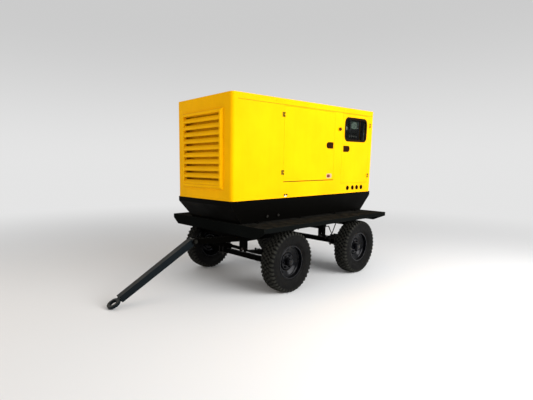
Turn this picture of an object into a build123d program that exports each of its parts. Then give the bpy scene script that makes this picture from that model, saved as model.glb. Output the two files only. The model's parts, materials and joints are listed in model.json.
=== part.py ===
from build123d import *
import math
import os
from typing import NamedTuple

# Towable diesel generator, in millimetres, +Z up.
#
# While modelling, X points to the control side, Y is the station measured rearward from the canopy's
# front face, and Z is the height above the ground. save() shifts every station forward by MID_STATION,
# so that the origin is on the ground in the middle of the footprint. The drawbar points towards -Y.

os.makedirs("parts", exist_ok=True)

# ---- driving dimensions: running gear
TYRE_RADIUS = 392.0
TYRE_HALF_WIDTH = 103.0
BEAD_RADIUS = 203.2
RIM_HALF_WIDTH = 70.0
TRACK_HALF = 808.0
FRONT_AXLE_Y = 720.0
WHEELBASE = 1515.0
REAR_AXLE_Y = FRONT_AXLE_Y + WHEELBASE
AXLE_SIZE = 66.0
BEAM_END = 690.0
KNEE_LENGTH = 45.0
SPINDLE_RADIUS = 30.0
SPRING_X = 450.0
RAIL_HALF_WIDTH = 30.0
SPRING_WIDTH = 60.0
SPRING_EYE_Z = 550.0
EYE_OVER_LEAF = 18.0
LEAF_THICKNESS = 9.0
LEAF_STEP = LEAF_THICKNESS + 0.2
SHORTEST_LEAF = 0.26

# ---- driving dimensions: deck, turntable bogie and drawbar
DECK_HALF_WIDTH = 950.0
DECK_FRONT_Y = 160.0
DECK_REAR_Y = 2820.0
DECK_TOP_Z = 878.0
DECK_SHEET = 6.0
PLATE = 8.0
DECK_LIP = 56.0
END_PLATE_DEPTH = 138.0
FRAME_BOTTOM_Z = 786.0
RING_OUTER = 400.0
RING_INNER = 330.0
BOGIE_TOP_Z = 733.0
BOGIE_BOTTOM_Z = 648.0
KINGPIN_RADIUS = 30.0
KINGPIN_FOOT_Z = 640.0
TIE_Z = 640.0
HINGE_Y = -175.0
HINGE_Z = 643.0
HINGE_PIN_RADIUS = 16.0
DRAWBAR_LENGTH = 1242.0
DRAWBAR_SIZES = (92.0, 80.0)
EYE_OUTER = 80.0
EYE_BORE = 45.0
EYE_THICKNESS = 36.0
EYE_ROUND = 8.0
GROUND_GAP = 1.0

# ---- driving dimensions: base tank and canopy
CANOPY_LENGTH = 3000.0
CANOPY_HALF_WIDTH = 562.5
CANOPY_HEIGHT = 1260.0
CANOPY_CORNER = 45.0
BASE_TOP_Z = 1173.0
BASE_BAND = 60.0
BASE_HALF_WIDTH = 558.0
BASE_FOOT_HALF_WIDTH = 520.0
BASE_FOOT_Y = (200.0, 2815.0)
BASE_WALL = 5.0
FILLER = (-430.0, 1700.0)
DRAIN_PLUGS = (622.0, 830.0)
DRAIN_PLUG_Z = 950.0
SKIN = 3.0
FLANGE = 35.0
DOOR_DEPTH = 28.0
DOOR_GAP = 3.0
ROOF_SPLIT = (360.0, 2940.0)
ROOF_SEAM = 1187.0
LOUVRE_HALF_WIDTH = 412.0
LOUVRE_TOP = 1090.0
LOUVRE_RIM = 46.0
LOUVRE_PROUD = 40.0
LOUVRE_PITCH = 86.4
LOUVRE_SLOTS = 10

# Openings in the canopy sides: stations along the side, and heights above the canopy's bottom edge.
ENGINE_DOOR = ((885.0, 1975.0), (213.0, 1176.0))
CONTROL_DOOR = ((2165.0, 2880.0), (150.0, 1176.0))
WINDOW_CENTRE = (2512.0, 952.0)
WINDOW_SIZE = (594.0, 356.0)
WINDOW_CORNER = 84.0
SEAL_WIDTH = 33.0
HINGE_OFFSET = 8.0
ENGINE_HINGES = (332.0, 1063.0)
CONTROL_HINGES = (258.0, 1037.0)
ENGINE_HINGE_Y = ENGINE_DOOR[0][0]
CONTROL_HINGE_Y = CONTROL_DOOR[0][1]
LATCH_SIZE = (160.0, 90.0)
LATCH_POCKET = (118.0, 58.0)
ENGINE_LATCH = (1865.0, 705.0)
CONTROL_LATCH = (2277.0, 665.0)
STOP_BUTTON = (2078.0, 943.0)
CABLE_OUTLETS = (2355.0, 2488.0, 2605.0, 2730.0)
CABLE_OUTLET_HEIGHT = 78.0
CABLE_HOLE_RADIUS = 30.0

# ---- driving dimensions: engine and alternator
CRANK_Z = 1503.0
FAN_Z = CRANK_Z + 235.0
CRANK_PULLEY = 90.0
FAN_PULLEY = 60.0
PULLEY_Y = (350.0, 385.0)
BLOCK_Y = (400.0, 1300.0)
FLYWHEEL_Y = (1300.0, 1385.0)
STATOR_Y = (1385.0, 2020.0)
MOUNT_X = 235.0
MOUNT_STATIONS = (480.0, 1210.0, 1560.0, 1930.0)
MOUNT_HEIGHT = 60.0
SILENCER_X = -146.0
SILENCER_Y = 640.0
SILENCER_Z = 2190.0
SILENCER_LENGTH = 640.0
SILENCER_RADIUS = 105.0
OUTLET_Y = 520.0
OUTLET_RADIUS = 45.0
OUTLET_RISE = 50.0
FLAP_PIN_OFFSET = 57.0
FLAP_PIN_RISE = 5.0
RUNNING_GAP = 0.05

# ---- driving dimensions: control cabinet
CABINET_X = (190.0, 440.0)
CABINET_Y = (2215.0, 2790.0)
CABINET_Z = (BASE_TOP_Z + 560, BASE_TOP_Z + 1150)
CONTROLLER_Y = (2500.0, 2740.0)
CONTROLLER_Z = (BASE_TOP_Z + 925, BASE_TOP_Z + 1110)
BREAKER = (2640.0, BASE_TOP_Z + 670)

# ---- derived places
HW = CANOPY_HALF_WIDTH
PADDLE_AXIS_X = HW - 5.0
CANOPY_TOP_Z = BASE_TOP_Z + CANOPY_HEIGHT
LOUVRE_Z = (BASE_TOP_Z + LOUVRE_TOP - LOUVRE_SLOTS * LOUVRE_PITCH - 90, BASE_TOP_Z + LOUVRE_TOP)
BOGIE_MIDDLE_Z = (BOGIE_BOTTOM_Z + BOGIE_TOP_Z) / 2

# The drawbar leans down until the rounded rim of its towing eye is GROUND_GAP above the ground.
REACH = DRAWBAR_LENGTH + EYE_OUTER - EYE_ROUND
HALF_EYE = EYE_THICKNESS / 2 - EYE_ROUND
DROP = HINGE_Z - GROUND_GAP - EYE_ROUND
DRAWBAR_PITCH = math.asin(DROP / math.hypot(REACH, HALF_EYE)) - math.atan2(HALF_EYE, REACH)
EYE_FRONT = REACH * math.cos(DRAWBAR_PITCH) + HALF_EYE * math.sin(DRAWBAR_PITCH) + EYE_ROUND
FRONT_STATION = HINGE_Y - EYE_FRONT
REAR_STATION = CANOPY_LENGTH + LOUVRE_PROUD
MID_STATION = (FRONT_STATION + REAR_STATION) / 2

DIRECTIONS = {"x": (1, 0, 0), "y": (0, 1, 0), "z": (0, 0, 1)}


# ---- helpers
def block(x, y, z):
    """Box between two corners, each side given as (low, high)."""
    size = [high - low for low, high in (x, y, z)]
    centre = [(low + high) / 2 for low, high in (x, y, z)]
    return Pos(*centre) * Box(*size)


def about(centre, half):
    """The (low, high) pair that lies half on each side of centre."""
    return (centre - half, centre + half)


def rail(side, length, height):
    """Channel along Y at one spring's X, open towards the middle of the machine."""
    outer = sorted((side * (SPRING_X - RAIL_HALF_WIDTH), side * (SPRING_X + RAIL_HALF_WIDTH)))
    hollow = sorted((side * (SPRING_X - RAIL_HALF_WIDTH - 1), side * (SPRING_X + RAIL_HALF_WIDTH - PLATE)))
    return block(outer, length, height) - block(hollow, length, (height[0] + PLATE, height[1] - PLATE))


def cross_member(y, half_width, height):
    """Inverted channel across the machine, between the two rails."""
    part = block(about(0, SPRING_X), about(y, half_width), height)
    inside = (height[0] - 1, height[1] - PLATE)
    return part - block(about(0, SPRING_X), about(y, half_width - PLATE), inside)


def rod(along, start, length, radius):
    """Cylinder from a start point along +X, +Y or +Z."""
    plane = Plane(origin=start, z_dir=DIRECTIONS[along])
    return extrude(plane * Circle(radius), length)


def pipe(along, start, length, outer, inner):
    """Round tube from a start point along +X, +Y or +Z."""
    return rod(along, start, length, outer) - rod(along, start, length, inner)


def hexagon(along, start, length, across_flats):
    """Nut or bolt head from a start point along +X or +Z."""
    plane = Plane(origin=start, z_dir=DIRECTIONS[along])
    return extrude(plane * RegularPolygon(across_flats / math.sqrt(3), 6), length)


def beam(start, end, width, height):
    """Straight bar of rectangular section between two points, its height axis kept upright."""
    direction = Vector(*end) - Vector(*start)
    sideways = Vector(0, 0, 1).cross(direction)
    plane = Plane(origin=start, x_dir=sideways, z_dir=direction)
    return extrude(plane * Rectangle(width, height), direction.length)


def side_plate(x, centre, size, corner):
    """Rounded plate that faces X; centre and size are (station, height)."""
    plane = Plane(origin=(x[0], *centre), x_dir=(0, 1, 0), z_dir=(1, 0, 0))
    return extrude(plane * RectangleRounded(*size, corner), x[1] - x[0])


def across(shape):
    """The same shape on the other side of the machine."""
    return mirror(shape, about=Plane.YZ)


def both_sides(shape):
    return [shape, across(shape)]


def save(node, *shapes):
    """Write the solids of one node, shifted to the row's origin."""
    solids = [solid for shape in shapes for solid in shape.solids()]
    moved = [solid.moved(Location((0, -MID_STATION, 0))) for solid in solids]
    export_step(Compound(children=moved), f"parts/{node}.step")


# ---- wheels
def tyre(axle_y):
    """Hollow tyre with a rounded crown and three grooves round it."""
    crown = TYRE_RADIUS
    casing = TYRE_RADIUS - 19
    seat = BEAD_RADIUS + 0.3
    half = make_face(
        [
            ThreePointArc((0, crown), (40, crown - 1), (77, crown - 5)),
            ThreePointArc((77, crown - 5), (90, crown - 11), (95, crown - 23)),
            ThreePointArc((95, crown - 23), (TYRE_HALF_WIDTH, 300), (84, 234)),
            Line((84, 234), (69.5, 218)),
            Line((69.5, 218), (69.5, seat)),
            Line((69.5, seat), (54, seat)),
            Line((54, seat), (62, 230)),
            ThreePointArc((62, 230), (87, 298), (78, casing - 12)),
            ThreePointArc((78, casing - 12), (40, casing - 2), (0, casing)),
            Line((0, casing), (0, crown)),
        ]
    )
    profile = half + mirror(half, about=Plane.YZ)
    for groove in (-45, 0, 45):
        profile -= Pos(groove, TYRE_RADIUS) * Rectangle(8, 20)
    centre = (TRACK_HALF, axle_y, TYRE_RADIUS)
    section = Plane(origin=centre, x_dir=(1, 0, 0), z_dir=(0, -1, 0)) * profile
    return revolve(section, axis=Axis(centre, (1, 0, 0)))


def wheel(axle_y):
    """Steel rim with a dished disc, a hub with a closed cap, and six nuts on their studs."""
    x = TRACK_HALF
    z = TYRE_RADIUS

    def turned(points):
        section = Plane(origin=(x, axle_y, z), x_dir=(1, 0, 0), z_dir=(0, -1, 0))
        outline = make_face(Polyline(*points, close=True))
        return revolve(section * outline, axis=Axis((x, axle_y, z), (1, 0, 0)))

    lip = RIM_HALF_WIDTH + 7
    rim = turned(
        [
            (-lip, 215), (-RIM_HALF_WIDTH, 215), (-RIM_HALF_WIDTH, BEAD_RADIUS), (-40, BEAD_RADIUS),
            (-32, 188), (18, 188), (26, BEAD_RADIUS), (RIM_HALF_WIDTH, BEAD_RADIUS),
            (RIM_HALF_WIDTH, 215), (lip, 215), (lip, 197), (30, 197), (21, 182), (-35, 182),
            (-44, 197), (-lip, 197),
        ]
    )
    disc = turned([(10, 184), (18, 184), (-8, 118), (12, 104), (12, 52), (4, 52), (4, 100), (-18, 118)])
    hub = turned([(-72, 62), (-8, 62), (-8, 96), (4, 96), (4, 51.5), (56, 48), (56, 0), (-72, 0)])
    hub -= rod("x", (x - 73, axle_y, z), 118.5, SPINDLE_RADIUS + RUNNING_GAP)
    cap = turned([(56, 46), (62, 46), (72, 40), (78, 26), (78, 0), (56, 0)])
    nuts = []
    for turn in range(6):
        angle = math.radians(60 * turn)
        y = axle_y + 78 * math.cos(angle)
        height = z + 78 * math.sin(angle)
        nuts.append(hexagon("x", (x + 12, y, height), 18, 27) + rod("x", (x + 30, y, height), 6, 7))
    return [rim + disc, hub + cap, *nuts]


# ---- axles and springs
class Suspension(NamedTuple):
    """One axle with its pair of leaf springs: beam_z is the beam's centre, seat_z the springs' foot."""

    axle_y: float
    beam_z: float
    seat_z: float
    half_length: float
    leaf_count: int

    @property
    def leaf_top(self):
        return self.seat_z + LEAF_STEP * self.leaf_count

    @property
    def main_leaf_z(self):
        return self.leaf_top - LEAF_THICKNESS / 2

    @property
    def leaf_radius(self):
        rise = SPRING_EYE_Z - EYE_OVER_LEAF - self.main_leaf_z
        return (self.half_length**2 + rise**2) / (2 * rise)


FRONT = Suspension(FRONT_AXLE_Y, 337.0, 425.0, 420.0, 8)
REAR = Suspension(REAR_AXLE_Y, 419.0, 454.0, 325.0, 5)


def axle(end):
    """Square beam with a knee and a spindle at each end, and a seat under each spring."""
    half = AXLE_SIZE / 2
    depth = about(end.axle_y, half)
    part = block(about(0, BEAM_END), depth, about(end.beam_z, half))
    knee_z = (min(end.beam_z, TYRE_RADIUS) - half, max(end.beam_z, TYRE_RADIUS) + half)
    spindle = (BEAM_END - 10, TRACK_HALF + 40)
    for side in (-1, 1):
        part += block(sorted((side * (BEAM_END - KNEE_LENGTH), side * BEAM_END)), depth, knee_z)
        spindle_low = min(side * spindle[0], side * spindle[1])
        part += rod("x", (spindle_low, end.axle_y, TYRE_RADIUS), spindle[1] - spindle[0], SPINDLE_RADIUS)
        part += rod("x", (min(side * BEAM_END, side * (BEAM_END + 25)), end.axle_y, TYRE_RADIUS), 25, 52)
        part += block(about(side * SPRING_X, 42), depth, (end.beam_z, end.seat_z))
    return part


def arc_band(end, radius, half_length):
    """Side view of one leaf: a band of a circle whose centre is high above the axle."""
    centre_z = end.main_leaf_z + end.leaf_radius
    sweep = math.asin(half_length / end.leaf_radius)

    def point(r, angle):
        return (end.axle_y + r * math.sin(angle), centre_z - r * math.cos(angle))

    top = radius - LEAF_THICKNESS / 2
    bottom = radius + LEAF_THICKNESS / 2
    return make_face(
        [
            ThreePointArc(point(top, -sweep), point(top, 0), point(top, sweep)),
            Line(point(top, sweep), point(bottom, sweep)),
            ThreePointArc(point(bottom, sweep), point(bottom, 0), point(bottom, -sweep)),
            Line(point(bottom, -sweep), point(top, -sweep)),
        ]
    )


def leaf_spring(end):
    """Nested leaves under a main leaf that is rolled into an eye at each end."""
    inner_x = SPRING_X - SPRING_WIDTH / 2
    plane = Plane(origin=(inner_x, 0, 0), x_dir=(0, 1, 0), z_dir=(1, 0, 0))
    shortening = (1 - SHORTEST_LEAF) / (end.leaf_count - 1)
    leaves = []
    for number in range(end.leaf_count):
        length = end.half_length * (1 - shortening * number)
        face = arc_band(end, end.leaf_radius + LEAF_STEP * number, length)
        leaves.append(extrude(plane * face, SPRING_WIDTH))
    for toward in (-1, 1):
        eye = (inner_x, end.axle_y + toward * end.half_length, SPRING_EYE_Z)
        leaves[0] += rod("x", eye, SPRING_WIDTH, 22)
        leaves[0] -= rod("x", eye, SPRING_WIDTH, 12 + RUNNING_GAP)
    return leaves


def u_bolts(end):
    """Two square U-bolts over one spring, with the plate under the axle and four nuts."""
    leg_x = SPRING_WIDTH / 2 + 9
    leg_y = AXLE_SIZE / 2 + 10
    top_z = end.leaf_top + 20
    plate_z = end.beam_z - AXLE_SIZE / 2
    saddle = block(about(SPRING_X, 30), about(end.axle_y, 51), (end.leaf_top + 1.5, top_z - 7))
    plate = block(about(SPRING_X, 56), about(end.axle_y, 59), (plate_z - 12, plate_z))
    parts = []
    for y in (end.axle_y - leg_y, end.axle_y + leg_y):
        bolt = rod("x", (SPRING_X - leg_x, y, top_z), 2 * leg_x, 7)
        for x in (SPRING_X - leg_x, SPRING_X + leg_x):
            bolt += Pos(x, y, top_z) * Sphere(7)
            bolt += rod("z", (x, y, plate_z - 34), top_z - plate_z + 34, 7)
            plate -= rod("z", (x, y, plate_z - 12), 12, 7.3)
            nut = hexagon("z", (x, y, plate_z - 26), 14, 22)
            parts.append(nut - rod("z", (x, y, plate_z - 26), 14, 7.02))
        parts.append(bolt)
    return [saddle, plate, *parts]


def spring_hanger(eye_y, top_z):
    """Post with two ears that hold one spring eye on its pin."""
    half = SPRING_WIDTH / 2
    post = block(about(SPRING_X, half + 12), about(eye_y, 34), (SPRING_EYE_Z - 6, top_z))
    post += rod("x", (SPRING_X - half - 12, eye_y, SPRING_EYE_Z - 2), 2 * half + 24, 34)
    post -= block(about(SPRING_X, half + 1), about(eye_y, 35), (SPRING_EYE_Z - 60, SPRING_EYE_Z + 34))
    return post + rod("x", (SPRING_X - half - 22, eye_y, SPRING_EYE_Z), 2 * half + 44, 12)


# ---- chassis
def end_plate(y, bottom_half_width):
    """Flat plate across one end of the deck: full width at the top, slanting in below the lip."""
    lip_z = DECK_TOP_Z - DECK_LIP
    bottom_z = DECK_TOP_Z - END_PLATE_DEPTH
    outline = Polyline(
        (-DECK_HALF_WIDTH, DECK_TOP_Z), (DECK_HALF_WIDTH, DECK_TOP_Z), (DECK_HALF_WIDTH, lip_z),
        (bottom_half_width, bottom_z), (-bottom_half_width, bottom_z), (-DECK_HALF_WIDTH, lip_z),
        close=True,
    )
    plane = Plane(origin=(0, y, 0), x_dir=(1, 0, 0), z_dir=(0, -1, 0))
    return extrude(plane * make_face(outline), -DECK_SHEET)


def deck():
    """Deck sheet with turned-down sides and a plate across each end."""
    length = (DECK_FRONT_Y, DECK_REAR_Y)
    part = block(about(0, DECK_HALF_WIDTH), length, (DECK_TOP_Z - DECK_SHEET, DECK_TOP_Z))
    lip_x = (DECK_HALF_WIDTH - DECK_SHEET, DECK_HALF_WIDTH)
    for lip in both_sides(block(lip_x, length, (DECK_TOP_Z - DECK_LIP, DECK_TOP_Z))):
        part += lip
    part += end_plate(DECK_FRONT_Y, 836)
    return part + end_plate(DECK_REAR_Y - DECK_SHEET, 760)


def chassis_frame():
    """Two rails under the deck, cross members, outriggers and the rear spring hangers."""
    top = DECK_TOP_Z - DECK_SHEET
    inner = (DECK_FRONT_Y + DECK_SHEET, DECK_REAR_Y - DECK_SHEET)
    height = (FRAME_BOTTOM_Z, top)
    part = rail(1, inner, height) + rail(-1, inner, height)
    hanger_stations = [REAR_AXLE_Y + toward * REAR.half_length for toward in (-1, 1)]
    for y in (FRONT_AXLE_Y - 320, FRONT_AXLE_Y + 320, 1480, *hanger_stations):
        part += cross_member(y, 45, height)
    part += block(about(0, SPRING_X), about(FRONT_AXLE_Y, 60), (FRAME_BOTTOM_Z, FRAME_BOTTOM_Z + 40))
    arm_z = top - 25
    tip_x = DECK_HALF_WIDTH - DECK_SHEET
    for y in (210, FRONT_AXLE_Y, 1255, 1740, REAR_AXLE_Y, 2760):
        for side in (-1, 1):
            part += beam((side * SPRING_X, y, arm_z), (side * tip_x, y, arm_z), 50, 50)
    for y in hanger_stations:
        part += block(about(0, SPRING_X - 40), about(y, PLATE / 2), (TIE_Z, FRAME_BOTTOM_Z + 4))
        for hanger in both_sides(spring_hanger(y, FRAME_BOTTOM_Z)):
            part += hanger
    brace_foot = (SPRING_X, hanger_stations[0] + 25, TIE_Z)
    brace_head = (SPRING_X, hanger_stations[0] + 200, FRAME_BOTTOM_Z + 20)
    for brace in both_sides(beam(brace_foot, brace_head, 16, 30)):
        part += brace
    return part - rod("z", (0, FRONT_AXLE_Y, FRAME_BOTTOM_Z), 60, KINGPIN_RADIUS)


def turntable_upper_ring():
    """Upper ring with the kingpin on its cross plate; the pin's nut sits below the bogie."""
    bottom = BOGIE_TOP_Z + 27
    ring = pipe("z", (0, FRONT_AXLE_Y, bottom), FRAME_BOTTOM_Z - bottom, RING_OUTER, RING_INNER)
    ring += block(about(0, RING_INNER + 5), about(FRONT_AXLE_Y, 70), (bottom + 6, FRAME_BOTTOM_Z))
    ring += rod("z", (0, FRONT_AXLE_Y, KINGPIN_FOOT_Z), FRAME_BOTTOM_Z + 60 - KINGPIN_FOOT_Z, KINGPIN_RADIUS)
    nut = hexagon("z", (0, FRONT_AXLE_Y, KINGPIN_FOOT_Z + 5), 32, 90)
    nut -= rod("z", (0, FRONT_AXLE_Y, KINGPIN_FOOT_Z), 40, KINGPIN_RADIUS)
    return [ring, nut]


def hinge_lug(side):
    """Ear that carries one end of the drawbar's hinge pin."""
    x = (59, 77) if side > 0 else (-77, -59)
    part = rod("x", (x[0], HINGE_Y, HINGE_Z), 18, 38)
    return part + block(x, (HINGE_Y, HINGE_Y + 90), about(HINGE_Z, 38))


def bogie_frame():
    """Rails, cross members, lower turntable ring, spring hangers and the braced V-shaped tow frame."""
    height = (BOGIE_BOTTOM_Z, BOGIE_TOP_Z)
    length = about(FRONT_AXLE_Y, 455)
    part = rail(1, length, height) + rail(-1, length, height)
    for y in (FRONT_AXLE_Y - 340, FRONT_AXLE_Y + 340):
        part += cross_member(y, 40, height)
    part += block(about(0, SPRING_X), about(FRONT_AXLE_Y, 60), (BOGIE_TOP_Z - 50, BOGIE_TOP_Z))
    part += pipe("z", (0, FRONT_AXLE_Y, BOGIE_TOP_Z), 26, RING_OUTER, RING_INNER)
    tie_y = FRONT_AXLE_Y - FRONT.half_length
    tie_half = SPRING_X - SPRING_WIDTH / 2 - 10
    part += rod("x", (-tie_half, tie_y, SPRING_EYE_Z), 2 * tie_half, 22)
    for side in (-1, 1):
        apex = (side * 68, HINGE_Y + 70, HINGE_Z)
        part += beam(apex, (side * SPRING_X, FRONT_AXLE_Y - 440, BOGIE_MIDDLE_Z), 60, 70)
        part += beam((side * 110, HINGE_Y + 140, HINGE_Z), (side * 215, tie_y, SPRING_EYE_Z), 40, 60)
        part += hinge_lug(side)
        for toward in (-1, 1):
            hanger = spring_hanger(FRONT_AXLE_Y + toward * FRONT.half_length, BOGIE_BOTTOM_Z)
            part += hanger if side > 0 else across(hanger)
    part += block(about(0, 77), (HINGE_Y + 60, HINGE_Y + 90), about(HINGE_Z, 34))
    part -= rod("x", (-80, HINGE_Y, HINGE_Z), 160, HINGE_PIN_RADIUS)
    return part - rod("z", (0, FRONT_AXLE_Y, BOGIE_BOTTOM_Z), 120, KINGPIN_RADIUS + RUNNING_GAP)


def drawbar_pin():
    """Hinge pin with a head at one end and a washer with a split pin at the other."""
    pin = rod("x", (-92, HINGE_Y, HINGE_Z), 184, HINGE_PIN_RADIUS)
    pin += rod("x", (77, HINGE_Y, HINGE_Z), 10, 26)
    washer = pipe("x", (-82, HINGE_Y, HINGE_Z), 5, 26, HINGE_PIN_RADIUS)
    return [pin, washer]


def leaned(shape):
    """Move a shape modelled along -Y from the hinge pin into the drawbar's resting pose."""
    return Pos(0, HINGE_Y, HINGE_Z) * Rot(X=math.degrees(DRAWBAR_PITCH)) * shape


def tapered_bar(start, end, start_size, end_size):
    """Square bar along -Y that tapers between two distances from the hinge pin."""
    near = Plane(origin=(0, -start, 0), x_dir=(1, 0, 0), z_dir=(0, -1, 0)) * Rectangle(start_size, start_size)
    far = Plane(origin=(0, -end, 0), x_dir=(1, 0, 0), z_dir=(0, -1, 0)) * Rectangle(end_size, end_size)
    return loft([near, far])


def drawbar():
    """Tapered box tube with a hinge barrel at the bogie and a slotted end plate at the eye."""
    tube_end = DRAWBAR_LENGTH - EYE_OUTER - 5
    wall = 7
    bar = tapered_bar(30, tube_end, *DRAWBAR_SIZES)
    bar -= tapered_bar(60, tube_end, *[size - 2 * wall for size in DRAWBAR_SIZES])
    bar += block(about(0, 40), (-tube_end, -tube_end + 14), about(0, 40))
    bar -= block(about(0, 30), (-tube_end, -tube_end + 14), about(0, EYE_THICKNESS / 2))
    bar += rod("x", (-57, 0, 0), 114, 36)
    bar -= rod("x", (-57, 0, 0), 114, HINGE_PIN_RADIUS + RUNNING_GAP)
    return leaned(bar)


def tow_eye():
    """Forged ring with rounded rims, on a flat shank that enters the drawbar tube."""
    ring = pipe("z", (0, -DRAWBAR_LENGTH, -EYE_THICKNESS / 2), EYE_THICKNESS, EYE_OUTER, EYE_BORE)
    rims = ring.edges().filter_by(GeomType.CIRCLE).sort_by(SortBy.RADIUS)[-2:]
    ring = fillet(rims, EYE_ROUND)
    shank_y = (-DRAWBAR_LENGTH + EYE_BORE + 8, -DRAWBAR_LENGTH + EYE_OUTER + 130)
    return leaned(ring + block(about(0, 30), shank_y, about(0, EYE_THICKNESS / 2)))


# ---- base tank
def tapered_hull(inset, bottom_z, top_z):
    """The base's outline, every wall moved in by inset: a band above a tapering hull."""
    band_z = BASE_TOP_Z - BASE_BAND

    def section(z, x, y):
        centre = (0, (y[0] + y[1]) / 2, z)
        return Plane(origin=centre) * Rectangle(2 * (x - inset), y[1] - y[0] - 2 * inset)

    share = (bottom_z - DECK_TOP_Z) / (band_z - DECK_TOP_Z)
    foot_x = BASE_FOOT_HALF_WIDTH + share * (BASE_HALF_WIDTH - BASE_FOOT_HALF_WIDTH)
    foot_y = (BASE_FOOT_Y[0] * (1 - share), BASE_FOOT_Y[1] + share * (CANOPY_LENGTH - BASE_FOOT_Y[1]))
    full_y = (0, CANOPY_LENGTH)
    hull = loft([section(bottom_z, foot_x, foot_y), section(band_z, BASE_HALF_WIDTH, full_y)])
    return hull + extrude(section(band_z, BASE_HALF_WIDTH, full_y), top_z - band_z)


def base_tank():
    """Hollow base frame that is also the fuel tank, with a filler neck on its top."""
    tank = tapered_hull(0, DECK_TOP_Z, BASE_TOP_Z)
    tank -= tapered_hull(BASE_WALL, DECK_TOP_Z + BASE_WALL, BASE_TOP_Z - BASE_WALL)
    tank += rod("z", (*FILLER, BASE_TOP_Z - 2), 57, 38)
    for station in DRAIN_PLUGS:
        tank -= rod("x", (500, station, DRAIN_PLUG_Z), 60, 14)
    return tank - rod("z", (*FILLER, BASE_TOP_Z - 20), 80, 32)


def drain_plugs():
    """Two hexagon-headed plugs low on the control side of the base."""
    parts = []
    for station in DRAIN_PLUGS:
        stem = rod("x", (515, station, DRAIN_PLUG_Z), 23, 14)
        parts.append(stem + hexagon("x", (537, station, DRAIN_PLUG_Z), 14, 32))
    return parts


def fuel_cap():
    """Flanged cap whose plug turns inside the filler neck."""
    z = BASE_TOP_Z + 55
    cap = rod("z", (*FILLER, z + 0.5), 18, 46)
    for turn in range(6):
        angle = math.radians(60 * turn)
        place = (FILLER[0] + 50 * math.cos(angle), FILLER[1] + 50 * math.sin(angle), z + 0.5)
        cap -= rod("z", place, 18, 12)
    return cap + rod("z", (*FILLER, z - 24), 25, 32 - RUNNING_GAP)


# ---- canopy
def side_opening(opening, x):
    """Block through one side wall at a door opening."""
    stations, heights = opening
    return block(x, stations, [BASE_TOP_Z + h for h in heights])


def grown(opening, by):
    (y0, y1), (z0, z1) = opening
    return ((y0 - by, y1 + by), (z0 - by, z1 + by))


def door_surround(opening):
    """Jamb round a door opening, with a landing flange for the door to close on."""
    depth = HW - DOOR_DEPTH - 6
    frame = side_opening(grown(opening, SKIN), (depth, HW)) - side_opening(opening, (depth, HW))
    landing = side_opening(grown(opening, SKIN), (depth, depth + SKIN))
    return frame + (landing - side_opening(grown(opening, -18), (depth, depth + SKIN)))


def walls(inset, height):
    """Solid of the canopy's outline, every wall moved in by inset, with rounded upright corners."""
    shape = block(about(0, HW - inset), (inset, CANOPY_LENGTH - inset), height)
    if inset < CANOPY_CORNER:
        return fillet(shape.edges().filter_by(Axis.Z), CANOPY_CORNER - inset)
    return shape


def canopy_body():
    """Walls of the enclosure with their door, louvre and cable openings, open for the roof panel."""
    top = CANOPY_TOP_Z
    body = walls(0, (BASE_TOP_Z, top)) - walls(SKIN, (BASE_TOP_Z - 1, top - SKIN))
    body -= block(about(0, HW + 1), ROOF_SPLIT, (BASE_TOP_Z + ROOF_SEAM, top + 1))
    body += walls(1, (BASE_TOP_Z, BASE_TOP_Z + SKIN)) - walls(FLANGE, (BASE_TOP_Z - 1, BASE_TOP_Z + 9))
    wall = (HW - SKIN - 1, HW + 1)
    body -= side_opening(ENGINE_DOOR, wall)
    body -= side_opening(CONTROL_DOOR, wall)
    body -= side_opening(ENGINE_DOOR, (-wall[1], -wall[0]))
    body += door_surround(ENGINE_DOOR)
    body += door_surround(CONTROL_DOOR)
    body += across(door_surround(ENGINE_DOOR))
    opening_x = about(0, LOUVRE_HALF_WIDTH - LOUVRE_RIM - 6)
    opening_z = (LOUVRE_Z[0] + LOUVRE_RIM + 6, LOUVRE_Z[1] - LOUVRE_RIM - 6)
    body -= block(opening_x, (-1, SKIN + 1), opening_z)
    body -= block(opening_x, (CANOPY_LENGTH - SKIN - 1, CANOPY_LENGTH + 1), opening_z)
    for station in CABLE_OUTLETS:
        centre = (HW - SKIN - 1, station, BASE_TOP_Z + CABLE_OUTLET_HEIGHT)
        body -= rod("x", centre, SKIN + 2, CABLE_HOLE_RADIUS)
    stop = (STOP_BUTTON[0], BASE_TOP_Z + STOP_BUTTON[1])
    body += pipe("x", (HW - 25, *stop), 33, 25, 12)
    return body - rod("x", (HW - 30, *stop), 40, 11 + RUNNING_GAP)


def roof_panel():
    """Top cover with folded edges and a collared hole for the exhaust outlet."""
    top = CANOPY_TOP_Z
    panel = block(about(0, HW), ROOF_SPLIT, (BASE_TOP_Z + ROOF_SEAM, top))
    inner = (ROOF_SPLIT[0] + SKIN, ROOF_SPLIT[1] - SKIN)
    panel -= block(about(0, HW - SKIN), inner, (BASE_TOP_Z + ROOF_SEAM - 1, top - SKIN))
    panel += rod("z", (SILENCER_X, OUTLET_Y, top - SKIN), SKIN + 12, OUTLET_RADIUS + 14)
    return panel - rod("z", (SILENCER_X, OUTLET_Y, top - 20), 50, OUTLET_RADIUS + 8)


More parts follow.
